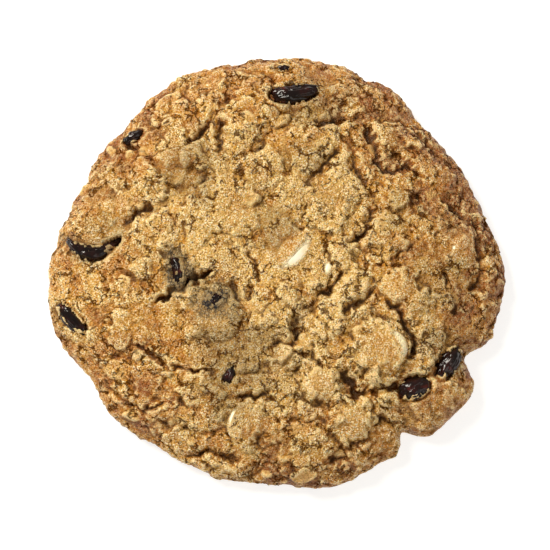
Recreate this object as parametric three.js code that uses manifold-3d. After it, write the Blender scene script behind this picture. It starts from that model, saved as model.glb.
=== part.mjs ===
// Cherry oatmeal cookie: a craggy baked round with dried cherries and pale chips set in its top.
// Millimetres, +Z up, the flat underside on z = 0, the back of the cookie at +Y.
import * as THREE from "three";
import { mergeVertices } from "three/addons/utils/BufferGeometryUtils.js";
import Module from "manifold-3d";

const wasm = await Module();
wasm.setup();

// Overall form
const DOUGH_HEIGHT = 13.4; // smooth dome height, before the lumps
const WIDEST_HEIGHT = 3.4; // height at which the side stands out furthest
const FOOT_INSET = 0.045; // share of the radius by which the underside draws in
const DOME_POWER = 3.0;
const DOME_ROUND = 0.6;
const PLAN_SHIFT = [-0.575, -0.25]; // sets the middle of the plan on the origin

// Plan radius every 15 degrees, counter-clockwise from +X
const PLAN_RADII = [
  51.0, 47.6, 46.7, 46.0, 48.7, 48.7, 48.2, 48.6, 48.5, 46.8, 46.7, 47.0,
  48.4, 49.8, 46.1, 47.1, 46.2, 47.3, 47.1, 49.5, 48.4, 50.2, 51.0, 49.7,
];
// Nicks in the outline: angle in degrees, half width in degrees, depth
const NICKS = [
  [308, 2.8, 3.8],
  [335.4, 4.2, 5.3],
  [65, 2.0, 1.1],
  [100, 3.0, 1.0],
  [154, 3.5, 0.8],
];

// Mesh fineness
const RINGS = 34;
const PROFILE_STEPS = 400;
const UNDERSIDE_RINGS = [[0.62, 40], [0.25, 12]]; // share of the radius, points

// Lumps of dough: x, y, radius, height
const LUMP_POWER = 4.0;
const LUMP_ROUND = 0.65;
const LUMP_SHARE = 0.77; // height of the lumps as a share of the list's
const CALM_LUMPS = 9; // the first of them have a smoother skin
const LUMPS = [
  [22.8, -19.7, 7.0, 2.6],
  [10.0, -27.2, 4.4, 1.8],
  [16.4, -34.4, 5.2, 1.8],
  [-13.5, -11.0, 6.0, 1.6],
  [-4.0, -35.0, 4.4, 1.2],
  [26.7, -5.4, 4.4, 1.6],
  [1.7, -21.7, 3.6, 1.3],
  [2.2, 3.6, 6.0, 0.7],
  [40.0, 4.6, 5.0, 0.9],
  [12.0, -12.6, 5.0, 1.5],
  [16.6, -5.2, 4.4, 1.4],
  [2.6, -11.0, 4.8, 1.2],
  [33.0, -15.2, 3.4, 1.3],
  [15.2, 17.6, 5.0, 1.3],
  [8.4, 26.0, 5.8, 1.5],
  [4.2, 15.0, 4.4, 1.0],
  [13.2, 24.3, 3.0, 1.1],
  [12.2, 10.6, 5.0, 1.0],
  [26.4, 15.6, 3.8, 1.1],
  [24.8, 28.6, 4.4, 1.4],
  [30.2, 26.4, 3.8, 1.3],
  [34.4, 20.4, 4.0, 1.2],
  [15.2, 2.8, 3.8, 1.1],
  [23.8, 7.0, 5.0, 1.2],
  [33.4, 9.8, 3.6, 1.1],
  [-8.6, 12.0, 5.8, 1.4],
  [-16.0, 9.6, 4.8, 1.2],
  [-26.2, 7.2, 4.6, 1.2],
  [-29.6, 2.4, 4.6, 1.1],
  [-27.6, 18.6, 5.4, 1.4],
  [-20.6, 25.5, 5.2, 1.5],
  [-22.0, 33.6, 4.8, 1.3],
  [-14.2, 34.6, 4.6, 1.2],
  [-6.0, 32.4, 5.8, 1.6],
  [-4.6, 39.8, 3.8, 1.0],
  [-40.6, 11.9, 6.0, 1.3],
  [-34.6, 20.4, 4.0, 1.0],
  [-18.4, -6.4, 4.2, 1.2],
  [-16.4, -28.0, 4.4, 1.3],
  [-24.2, -32.6, 4.2, 1.2],
  [-15.0, -33.4, 4.4, 1.2],
  [-26.8, -22.8, 5.0, 1.1],
  [-36.0, -16.4, 4.2, 0.9],
  [31.4, -21.2, 3.2, 1.2],
  [36.0, -30.5, 6.5, 1.6],
  [24.4, -30.2, 3.4, 1.0],
  [7.6, -40.4, 4.6, 1.0],
  [17.4, -40.8, 3.6, 1.0],
  [15.4, 37.2, 4.2, 1.1],
  [32.4, -8.8, 3.8, 1.0],
  [-31.5, -8.5, 5.5, 0.8],
  [-3.0, 22.0, 5.0, 1.1],
];

// Cracks: start x and y, end x and y, sideways bow, half width, depth
const CRACKS = [
  [-22.4, 15.6, -8.7, 22.6, -0.6, 1.9, 2.3],
  [-8.7, 22.6, 5.0, 34.6, -1.3, 1.2, 2.2],
  [-22.4, 15.9, -32.0, 9.4, 1.0, 1.3, 1.7],
  [-32.6, 27.0, -22.4, 16.8, 1.5, 1.0, 1.8],
  [-10.7, 38.1, -18.5, 28.0, 1.6, 1.0, 1.7],
  [-11.5, 31.6, -11.3, 24.4, 0.0, 0.9, 1.8],
  [-25.5, -9.0, -20.2, -5.8, 0.3, 0.6, 2.6],
  [-20.2, -5.6, -14.2, -2.4, 0.8, 0.8, 3.2],
  [10.2, 31.4, 22.6, 34.3, -0.4, 1.2, 2.2],
  [19.1, 31.6, 24.3, 21.6, -0.3, 1.0, 2.0],
  [24.3, 21.6, 30.7, 20.4, 0.5, 1.0, 1.8],
  [14.6, 26.9, 8.0, 17.2, -1.0, 0.9, 1.7],
  [14.8, 26.7, 22.4, 15.0, -0.4, 1.2, 2.3],
  [21.1, 12.0, 17.6, 4.4, 0.5, 1.0, 1.9],
  [17.8, 0.8, 12.2, -5.6, 0.5, 1.1, 2.3],
  [12.2, -5.6, 5.0, -16.3, -2.2, 1.2, 2.5],
  [5.0, -16.5, -0.7, -17.4, 0.4, 0.9, 1.6],
  [-0.7, -17.4, -3.0, -23.6, 0.5, 1.0, 2.0],
  [-3.0, -23.8, -8.0, -23.8, 0.0, 0.8, 1.6],
  [-6.3, -29.0, -0.7, -28.5, 0.0, 0.9, 1.8],
  [-2.2, -31.7, -2.6, -38.4, 0.2, 0.9, 1.8],
  [7.8, -19.7, 9.4, -23.8, 0.0, 1.0, 2.0],
  [13.7, -24.6, 17.2, -29.7, 0.5, 1.3, 2.4],
  [17.2, -29.2, 26.5, -26.0, -0.8, 0.9, 1.9],
  [15.4, -31.4, 10.0, -31.3, 0.5, 1.0, 1.6],
  [15.9, -10.8, 21.1, -3.0, -1.4, 1.1, 2.0],
  [24.6, -9.0, 29.8, -18.5, 1.2, 1.2, 2.3],
  [42.8, 10.8, 43.3, -4.5, 1.2, 1.1, 1.6],
  [24.1, -34.6, 12.4, -41.4, 0.6, 1.2, 2.0],
  [32.6, -2.2, 33.0, -7.7, 0.0, 0.9, 1.5],
];
const CRACK_PIECES = 6;
const CRACK_SPREAD = 2.3; // half widths at which a crack's side reaches the crust
const CRACK_POINT = 1.4; // how pointed the floor of a crack is

// Clumped crust over the whole top
const SWELL = { wave: 17, height: 0.75, seed: 11 };
const CLUMP = { wave: 7.4, height: 0.4, seed: 23 };
const KNOB = { wave: 3.7, height: 0.25, seed: 37 };
const WARP = { wave: 4.2, reach: 1.2, seed: 41 };
const BREAK = { wave: 5.5, least: 0.25, seed: 43 }; // where the cracks run shallow
// Flat tilted clumps on a loose grid: sizes, slope, rounding, levels, gap between them
const PLATE = {
  spacing: 4.2, shortest: 3.8, longest: 8.2, tilt: 0.16, bulge: 0.3,
  lowest: -0.3, highest: 0.4, gap: 0.2, seed: 51,
};
const PLATE_EDGE = [1.1, 0.75]; // outer and inner share of its outline over which a clump falls off
const RELIEF_FADE = 2.6; // height over which the lumps die out towards the underside

// Dried cherries: name, x, y, length, width, thickness, heading in degrees, bow, lift of the middle,
// and the share of the thickness by which the dough dips round it
const CHERRIES = [
  ["cherry_back", 4.3, 38.4, 11.0, 4.6, 4.2, 8, 0.010, 0.5, 0.3],
  ["cherry_left", -39.3, 4.0, 12.4, 3.8, 3.8, -1, 0.085, 0.3, 0.3],
  ["cherry_left_front", -43.7, -11.2, 9.6, 3.4, 3.6, -46, 0.0, 0.3, 0.3],
  ["cherry_right", 37.4, -21.3, 9.4, 4.6, 4.2, 57, 0.0, 0.4, 0.3],
  ["cherry_right_front", 30.0, -26.9, 7.6, 5.2, 4.4, 20, 0.0, 0.6, 0.3],
  ["cherry_middle", -20.6, -2.0, 8.4, 3.6, 4.0, 98, 0.03, 0.1, 0.08],
  ["cherry_veiled", -12.6, -8.6, 6.4, 4.4, 3.8, 12, 0.0, 0.0, 0.0],
  ["cherry_front", -9.6, -24.4, 4.8, 2.4, 3.0, 66, 0.0, 0.2, 0.25],
  ["cherry_back_left", -30.7, 29.3, 5.0, 2.8, 3.0, 32, 0.0, 0.2, 0.2],
  ["cherry_rim", 2.2, 44.9, 3.6, 2.0, 2.4, -5, 0.0, 0.0, 0.1],
];
// Pale chips: the same fields
const CHIPS = [
  ["chip_middle", 3.9, 2.2, 9.2, 7.0, 4.2, 46, 0.0, -0.1, 0.05],
  ["chip_tip", 11.5, -1.6, 3.0, 2.2, 2.6, 80, 0.0, 0.0, 0.1],
  ["chip_right", 26.9, -17.9, 5.8, 2.6, 3.2, 113, 0.06, 0.1, 0.1],
  ["chip_front", -7.0, -34.8, 7.4, 6.4, 4.2, 80, 0.0, 0.0, 0.08],
  ["chip_far_right", 39.6, 4.2, 6.6, 4.8, 3.6, 50, 0.0, 0.0, 0.06],
];
const POCKET_GAP = 0.35; // clear space between a fruit or chip and its pocket
const SINK_SHARE = 0.36; // share of its thickness by which a fruit's middle lies below the crust
const FRUIT_FACETS = { around: 13, along: 8 };
const CHIP_FACETS = { around: 12, along: 7 };
const WRINKLE = { depth: 0.1, wave: 2.1, seed: 71 };

// Oat flakes lying in the crust: x, y, length, width, heading in degrees, lean in degrees
const FLAKES = [
  [6.4, -45.4, 5.2, 2.6, 8, 52],
  [-21.0, 19.4, 5.0, 3.4, 70, 8],
  [-23.2, 37.2, 6.0, 3.2, 40, 18],
  [31.0, 31.5, 5.2, 3.4, 30, 14],
  [-14.0, 36.0, 5.4, 3.6, 80, 12],
  [0.8, 31.6, 5.0, 3.4, 20, 10],
  [-33.0, -5.0, 5.4, 3.8, 60, 9],
  [-31.0, 14.5, 5.6, 3.8, -30, 8],
  [-6.0, 14.0, 6.0, 4.0, 15, 6],
  [9.0, 14.5, 5.4, 3.6, -40, 8],
  [24.0, 8.0, 5.8, 3.8, 70, 8],
  [38.5, -6.0, 5.4, 3.6, -60, 12],
  [18.0, -9.0, 5.2, 3.4, 35, 8],
  [-20.0, -33.0, 5.6, 3.8, 25, 10],
  [-34.0, -22.5, 5.6, 3.6, -45, 14],
  [5.0, -36.0, 5.0, 3.4, -15, 10],
  [34.6, 16.8, 5.2, 3.4, 55, 14],
  [-4.0, -9.5, 5.0, 3.4, 5, 8],
];
const FLAKE_THICKNESS = 1.5;
const FLAKE_RAISE = 0.35; // how far a flake's middle stands above the dough
const FLAKE_SIDES = 10;

// Colours
const DOUGH_COLOUR = 0xb8854a;
const CHERRY_COLOUR = 0x2a1512;
const CHIP_COLOUR = 0xefd9ae;

const DEGREE = Math.PI / 180;

// Repeatable random numbers on a whole-number lattice, 0 to 1
function latticeValue(ix, iy, iz, seed) {
  let h = Math.imul(ix, 374761393) ^ Math.imul(iy, 668265263);
  h ^= Math.imul(iz, 1440662683) ^ Math.imul(seed, 974634777);
  h = Math.imul(h ^ (h >>> 13), 1274126177);
  h = Math.imul(h ^ (h >>> 15), 739982445);
  return ((h ^ (h >>> 16)) >>> 0) / 4294967296;
}

function easeStep(low, high, value) {
  const t = Math.min(1, Math.max(0, (value - low) / (high - low)));
  return t * t * (3 - 2 * t);
}

function mix(a, b, t) {
  return a + (b - a) * t;
}

// Smooth noise, -1 to 1
function noise(x, y, z, wave, seed) {
  const place = [x / wave, y / wave, z / wave];
  const cell = place.map(Math.floor);
  const [u, v, w] = place.map((p, k) => easeStep(0, 1, p - cell[k]));
  const corner = (i, j, k) => latticeValue(cell[0] + i, cell[1] + j, cell[2] + k, seed);
  const edge = (j, k) => mix(corner(0, j, k), corner(1, j, k), u);
  return 2 * mix(mix(edge(0, 0), edge(1, 0), v), mix(edge(0, 1), edge(1, 1), v), w) - 1;
}

// Plan radius at an angle, a closed smooth curve through the radii less the nicks
function planRadius(angle) {
  const count = PLAN_RADII.length;
  const turn = ((angle / (2 * Math.PI)) % 1 + 1) % 1;
  const i = Math.floor(turn * count);
  const t = turn * count - i;
  const [a, b, c, d] = [-1, 0, 1, 2].map((k) => PLAN_RADII[(i + k + count) % count]);
  let radius = b + 0.5 * t * (c - a + t * (2 * a - 5 * b + 4 * c - d + t * (3 * (b - c) + d - a)));
  for (const [at, halfWidth, depth] of NICKS) {
    const off = ((turn * 360 - at + 540) % 360) - 180;
    radius -= depth * Math.exp(-((off / halfWidth) ** 2));
  }
  return radius;
}

function domeHeight(share) {
  const left = Math.max(0, 1 - Math.min(1, share) ** DOME_POWER);
  return WIDEST_HEIGHT + (DOUGH_HEIGHT - WIDEST_HEIGHT) * left ** DOME_ROUND;
}

// Side profile from the top middle to the underside's edge: share of the radius, height, normal
function sideProfile() {
  const dense = [];
  for (let i = 0; i <= PROFILE_STEPS; i++) {
    const share = 1 - (1 - i / PROFILE_STEPS) ** 2;
    dense.push([share, domeHeight(share)]);
  }
  for (let i = 1; i <= PROFILE_STEPS / 4; i++) {
    const turn = (i / PROFILE_STEPS) * 2 * Math.PI;
    dense.push([1 - FOOT_INSET * (1 - Math.cos(turn)), WIDEST_HEIGHT * (1 - Math.sin(turn))]);
  }
  const reach = 48;
  const lengths = [0];
  for (let i = 1; i < dense.length; i++) {
    const step = Math.hypot((dense[i][0] - dense[i - 1][0]) * reach, dense[i][1] - dense[i - 1][1]);
    lengths.push(lengths[i - 1] + step);
  }
  const rows = [];
  let at = 1;
  for (let ring = 0; ring <= RINGS; ring++) {
    const wanted = (lengths[lengths.length - 1] * ring) / RINGS;
    while (at < dense.length - 1 && lengths[at] < wanted) {
      at++;
    }
    const t = (wanted - lengths[at - 1]) / (lengths[at] - lengths[at - 1]);
    const [a, b] = [dense[at - 1], dense[at]];
    const run = (b[0] - a[0]) * reach;
    const rise = b[1] - a[1];
    const size = Math.hypot(run, rise);
    rows.push([mix(a[0], b[0], t), mix(a[1], b[1], t), -rise / size, run / size]);
  }
  return rows;
}

// Cracks as short straight runs along a bowed line
function crackRuns() {
  const runs = [];
  for (const [x0, y0, x1, y1, bow, halfWidth, depth] of CRACKS) {
    const length = Math.hypot(x1 - x0, y1 - y0);
    const point = (t) => {
      const side = (4 * bow * t * (1 - t)) / length;
      return [mix(x0, x1, t) - (y1 - y0) * side, mix(y0, y1, t) + (x1 - x0) * side];
    };
    for (let i = 0; i < CRACK_PIECES; i++) {
      runs.push([point(i / CRACK_PIECES), point((i + 1) / CRACK_PIECES), halfWidth, depth]);
    }
  }
  return runs;
}
const crackList = crackRuns();

function crackDepth(x, y) {
  let deepest = 0;
  for (const [[ax, ay], [bx, by], halfWidth, depth] of crackList) {
    const along = ((x - ax) * (bx - ax) + (y - ay) * (by - ay)) / ((bx - ax) ** 2 + (by - ay) ** 2);
    const t = Math.min(1, Math.max(0, along));
    const off = Math.hypot(x - mix(ax, bx, t), y - mix(ay, by, t));
    const side = Math.max(0, 1 - off / (CRACK_SPREAD * halfWidth));
    deepest = Math.max(deepest, depth * side ** CRACK_POINT);
  }
  return deepest;
}

function lumpHeight(x, y) {
  let height = 0;
  for (const [cx, cy, radius, rise] of LUMPS) {
    const off = Math.hypot(x - cx, y - cy) / radius;
    const bulge = (1 - Math.min(1, off) ** LUMP_POWER) ** LUMP_ROUND;
    height = Math.max(height, LUMP_SHARE * rise * bulge);
  }
  return height;
}

// A fruit's own frame: distance from its middle as a share of its outline
function outlineShare(x, y, fruit, grow) {
  const [, cx, cy, length, width, , heading, bow] = fruit;
  const c = Math.cos(heading * DEGREE);
  const s = Math.sin(heading * DEGREE);
  const u = (x - cx) * c + (y - cy) * s;
  const v = (y - cy) * c - (x - cx) * s - bow * (u * u - (length * length) / 12);
  return Math.hypot(u / (length / 2 + grow), v / (width / 2 + grow));
}

function socketDepth(x, y) {
  let depth = 0;
  for (const fruit of [...CHERRIES, ...CHIPS]) {
    const off = outlineShare(x, y, fruit, 0.2);
    depth = Math.max(depth, fruit[9] * fruit[5] * (1 - easeStep(0.7, 1.1, off)));
  }
  return depth;
}

// A plan point moved about a little, so that no line on the crust runs straight
function warp(x, y, z) {
  const dx = WARP.reach * noise(x, y, z, WARP.wave, WARP.seed);
  const dy = WARP.reach * noise(x, y, z, WARP.wave, WARP.seed + 1);
  return [x + dx, y + dy];
}

// Swells, folds and lumps, without the clumps and cracks
function smoothRelief(x, y, z) {
  const [wx, wy] = warp(x, y, z);
  const swell = SWELL.height * noise(x, y, z, SWELL.wave, SWELL.seed);
  const fold = Math.abs(noise(wx, wy, z, CLUMP.wave, CLUMP.seed));
  const clump = CLUMP.height * (easeStep(0, 0.9, fold) - 0.4);
  const knob = KNOB.height * noise(wx, wy, z, KNOB.wave, KNOB.seed);
  return swell + clump + knob + easeStep(3, 7, z) * lumpHeight(wx, wy);
}

// Height of the smooth dome above a plan point
function baseHeight(x, y) {
  return domeHeight(Math.hypot(x, y) / planRadius(Math.atan2(y, x)));
}

function baseRelief(x, y) {
  return smoothRelief(x, y, baseHeight(x, y));
}

// 1 on the smoother lumps, 0 elsewhere
function calmness(x, y) {
  let calm = 0;
  for (const [cx, cy, radius] of LUMPS.slice(0, CALM_LUMPS)) {
    calm = Math.max(calm, 1 - easeStep(0.4, 0.95, Math.hypot(x - cx, y - cy) / radius));
  }
  return calm;
}

// 1 over and beside the fruit and chips, 0 away from them
function besideFruit(x, y) {
  let near = 0;
  for (const fruit of [...CHERRIES, ...CHIPS]) {
    near = Math.max(near, 1 - easeStep(0.9, 1.3, outlineShare(x, y, fruit, 1.5)));
  }
  return near;
}

function crustPlates() {
  const plates = [];
  const reach = Math.floor(50 / PLATE.spacing) + 1;
  for (let j = -reach; j <= reach; j++) {
    for (let i = -reach; i <= reach; i++) {
      const r = [0, 1, 2, 3, 4, 5, 6, 7].map((k) => latticeValue(i, j, k, PLATE.seed));
      const x = (i + 0.9 * (r[0] - 0.5)) * PLATE.spacing;
      const y = (j + 0.9 * (r[1] - 0.5)) * PLATE.spacing;
      const outside = Math.hypot(x, y) >= 0.95 * planRadius(Math.atan2(y, x));
      const onFruit = [...CHERRIES, ...CHIPS].some((fruit) => outlineShare(x, y, fruit, 1.5) <= 1.2);
      if (outside || onFruit || calmness(x, y) >= 0.5) {
        continue;
      }
      const length = mix(PLATE.shortest, PLATE.longest, r[2] ** 1.5);
      const halfLong = length / 2;
      const halfWide = halfLong * mix(0.5, 0.85, r[3]);
      const heading = Math.PI * r[4];
      const level = baseRelief(x, y) + mix(PLATE.lowest, PLATE.highest, r[5]);
      const fallX = (baseRelief(x + 1.5, y) - baseRelief(x - 1.5, y)) / 3;
      const fallY = (baseRelief(x, y + 1.5) - baseRelief(x, y - 1.5)) / 3;
      const slopeX = fallX + PLATE.tilt * r[6] * Math.cos(7 * r[7]);
      const slopeY = fallY + PLATE.tilt * r[6] * Math.sin(7 * r[7]);
      plates.push({ x, y, halfLong, halfWide, heading, level, slopeX, slopeY });
    }
  }
  return plates;
}
const plateList = crustPlates();

// How far the crust stands off the smooth dome at a point of it
function crustRelief(x, y, z) {
  let height = smoothRelief(x, y, z) - PLATE.gap * (1 - besideFruit(x, y));
  for (const plate of plateList) {
    const dx = x - plate.x;
    const dy = y - plate.y;
    if (Math.max(Math.abs(dx), Math.abs(dy)) >= 1.3 * plate.halfLong) {
      continue;
    }
    const c = Math.cos(plate.heading);
    const s = Math.sin(plate.heading);
    const off = Math.hypot((dx * c + dy * s) / plate.halfLong, (dy * c - dx * s) / plate.halfWide);
    const top = plate.level + plate.slopeX * dx + plate.slopeY * dy - PLATE.bulge * off * off;
    const cover = 1 - easeStep(PLATE_EDGE[1], PLATE_EDGE[0], off);
    height = mix(height, Math.max(height, top), cover);
  }
  const [wx, wy] = warp(x, y, z);
  const broken = easeStep(-0.5, 0.4, noise(x, y, z, BREAK.wave, BREAK.seed));
  return height - easeStep(3, 7, z) * mix(BREAK.least, 1, broken) * crackDepth(wx, wy);
}

// Dough body: rings of points from the top middle down the side, then across the flat underside
function doughGeometry() {
  const places = [];
  const rings = [];
  const profile = sideProfile();
  profile.forEach(([share, height, outward, upward], ring) => {
    const count = Math.max(1, ring * 6);
    rings.push([places.length / 3, count]);
    for (let i = 0; i < count; i++) {
      const angle = (i / count) * 2 * Math.PI;
      const reach = share * planRadius(angle);
      const x = reach * Math.cos(angle);
      const y = reach * Math.sin(angle);
      const fade = easeStep(0, RELIEF_FADE, height);
      const off = fade * crustRelief(x, y, height);
      const z = height + upward * off - fade * Math.max(0, upward) * socketDepth(x, y);
      places.push(x + outward * off * Math.cos(angle), y + outward * off * Math.sin(angle));
      places.push(ring === RINGS ? 0 : Math.max(0.05, z));
    }
  });
  for (const [share, count] of [...UNDERSIDE_RINGS, [0, 1]]) {
    rings.push([places.length / 3, count]);
    for (let i = 0; i < count; i++) {
      const angle = (i / count) * 2 * Math.PI;
      const reach = share * planRadius(angle);
      places.push(reach * Math.cos(angle), reach * Math.sin(angle), 0);
    }
  }
  const faces = [];
  for (let ring = 1; ring < rings.length; ring++) {
    faces.push(...bandFaces(rings[ring - 1], rings[ring]));
  }
  const shape = new THREE.BufferGeometry();
  shape.setAttribute("position", new THREE.Float32BufferAttribute(places, 3));
  shape.setIndex(faces);
  return shape;
}

// Faces between two rings of points with any counts, walked round by angle
function bandFaces([innerStart, innerCount], [outerStart, outerCount]) {
  const faces = [];
  const innerSteps = innerCount > 1 ? innerCount : 0;
  const outerSteps = outerCount > 1 ? outerCount : 0;
  let i = 0;
  let j = 0;
  while (i < innerSteps || j < outerSteps) {
    const inner = innerStart + (i % innerCount);
    const outer = outerStart + (j % outerCount);
    const outerBehind = (j + 0.5) / outerCount <= (i + 0.5) / innerCount;
    if (j < outerSteps && (i >= innerSteps || outerBehind)) {
      faces.push(inner, outer, outerStart + ((j + 1) % outerCount));
      j++;
    } else {
      faces.push(inner, outer, innerStart + ((i + 1) % innerCount));
      i++;
    }
  }
  return faces;
}

// Fruit or chip: a flattened round bent along its length, wrinkled if it is a fruit
function fruitGeometry(fruit, facets, wrinkle, grow) {
  const [, cx, cy, length, width, thickness, heading, bow, lift] = fruit;
  const shape = new THREE.SphereGeometry(1, facets.around, facets.along);
  shape.rotateX(Math.PI / 2);
  const place = shape.getAttribute("position");
  const c = Math.cos(heading * DEGREE);
  const s = Math.sin(heading * DEGREE);
  const middle = baseHeight(cx, cy) + baseRelief(cx, cy) - thickness * SINK_SHARE + lift;
  for (let i = 0; i < place.count; i++) {
    const [ux, uy, uz] = [place.getX(i), place.getY(i), place.getZ(i)];
    const crease = noise(ux * 3 + cx, uy * 3 + cy, uz * 3, WRINKLE.wave, WRINKLE.seed);
    const swell = 1 + wrinkle * crease;
    const u = ux * (length / 2 + grow) * swell;
    const v = uy * (width / 2 + grow) * swell + bow * (u * u - (length * length) / 12);
    const w = uz * (thickness / 2 + grow) * swell;
    place.setXYZ(i, cx + u * c - v * s, cy + u * s + v * c, middle + w);
  }
  return shape;
}

// Oat flake: a thin pointed lens lying on the crust, leaning outwards from the middle
function flakeGeometry([x, y, length, width, heading, lean]) {
  const shape = new THREE.SphereGeometry(1, FLAKE_SIDES, 2);
  shape.rotateX(Math.PI / 2);
  shape.scale(length / 2, width / 2, FLAKE_THICKNESS / 2);
  shape.rotateZ(heading * DEGREE);
  const away = Math.atan2(y, x);
  shape.rotateZ(-away);
  shape.rotateY(lean * DEGREE);
  shape.rotateZ(away);
  const height = baseHeight(x, y);
  shape.translate(x, y, height + crustRelief(x, y, height) + FLAKE_RAISE - FLAKE_THICKNESS / 4);
  return shape;
}

function solidOf(shape) {
  const bare = shape.clone();
  bare.deleteAttribute("normal");
  bare.deleteAttribute("uv");
  const welded = mergeVertices(bare, 1e-5);
  const mesh = new wasm.Mesh({
    numProp: 3,
    vertProperties: new Float32Array(welded.getAttribute("position").array),
    triVerts: new Uint32Array(welded.getIndex().array),
  });
  return new wasm.Manifold(mesh);
}

function geometryOf(solid) {
  const mesh = solid.getMesh();
  const shape = new THREE.BufferGeometry();
  shape.setAttribute("position", new THREE.Float32BufferAttribute(mesh.vertProperties, 3));
  shape.setIndex(new THREE.Uint32BufferAttribute(mesh.triVerts, 1));
  shape.computeVertexNormals();
  return shape;
}

const cookie = new THREE.Group();
cookie.name = "cherry_oatmeal_cookie";

function addNode(name, shape, colour, roughness) {
  const look = new THREE.MeshStandardMaterial({ color: colour, roughness, metalness: 0 });
  const mesh = new THREE.Mesh(shape, look);
  mesh.name = name;
  mesh.position.set(PLAN_SHIFT[0], PLAN_SHIFT[1], 0);
  cookie.add(mesh);
}

let dough = solidOf(doughGeometry());
for (const flake of FLAKES) {
  dough = dough.add(solidOf(flakeGeometry(flake)));
}
for (const cherry of CHERRIES) {
  dough = dough.subtract(solidOf(fruitGeometry(cherry, FRUIT_FACETS, WRINKLE.depth, POCKET_GAP)));
}
for (const chip of CHIPS) {
  dough = dough.subtract(solidOf(fruitGeometry(chip, CHIP_FACETS, 0, POCKET_GAP)));
}

addNode("cookie_dough", geometryOf(dough), DOUGH_COLOUR, 0.8);
for (const cherry of CHERRIES) {
  const shape = geometryOf(solidOf(fruitGeometry(cherry, FRUIT_FACETS, WRINKLE.depth, 0)));
  addNode(cherry[0], shape, CHERRY_COLOUR, 0.35);
}
for (const chip of CHIPS) {
  const shape = geometryOf(solidOf(fruitGeometry(chip, CHIP_FACETS, 0, 0)));
  addNode(chip[0], shape, CHIP_COLOUR, 0.5);
}

export default cookie;
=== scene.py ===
import functools
import math
from collections import namedtuple
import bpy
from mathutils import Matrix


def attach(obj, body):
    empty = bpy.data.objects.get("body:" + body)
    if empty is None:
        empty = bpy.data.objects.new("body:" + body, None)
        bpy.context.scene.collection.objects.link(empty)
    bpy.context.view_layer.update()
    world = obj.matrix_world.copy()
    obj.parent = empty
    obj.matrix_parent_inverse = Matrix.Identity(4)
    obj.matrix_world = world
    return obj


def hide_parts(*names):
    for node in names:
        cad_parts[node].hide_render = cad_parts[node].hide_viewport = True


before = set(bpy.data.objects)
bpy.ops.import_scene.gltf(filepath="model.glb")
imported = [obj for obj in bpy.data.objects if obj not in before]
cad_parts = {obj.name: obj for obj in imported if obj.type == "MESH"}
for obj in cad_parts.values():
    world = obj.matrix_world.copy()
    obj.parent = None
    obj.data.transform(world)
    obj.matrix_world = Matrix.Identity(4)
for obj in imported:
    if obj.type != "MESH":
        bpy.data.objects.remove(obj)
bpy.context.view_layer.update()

from types import SimpleNamespace as Group

import bpy
import numpy as np
from mathutils import Vector

# Cherry oatmeal cookie. Sizes are in millimetres until a mesh is made; the back of the cookie is at +Y.
MM = 0.001

# Overall form, as in the solids
DOUGH_HEIGHT = 13.4
WIDEST_HEIGHT = 3.4
FOOT_INSET = 0.045
DOME_POWER = 3.0
DOME_ROUND = 0.6
PLAN_SHIFT = (-0.575, -0.25)
PLAN_RADII = np.array([
    51.0, 47.6, 46.7, 46.0, 48.7, 48.7, 48.2, 48.6, 48.5, 46.8, 46.7, 47.0,
    48.4, 49.8, 46.1, 47.1, 46.2, 47.3, 47.1, 49.5, 48.4, 50.2, 51.0, 49.7,
])
# Nicks in the outline: angle in degrees, half width in degrees, depth
NICKS = [(308, 2.8, 3.8), (335.4, 4.2, 5.3), (65, 2.0, 1.1), (100, 3.0, 1.0), (154, 3.5, 0.8)]
PROFILE_STEPS = 400
PROFILE_REACH = 48

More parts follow.
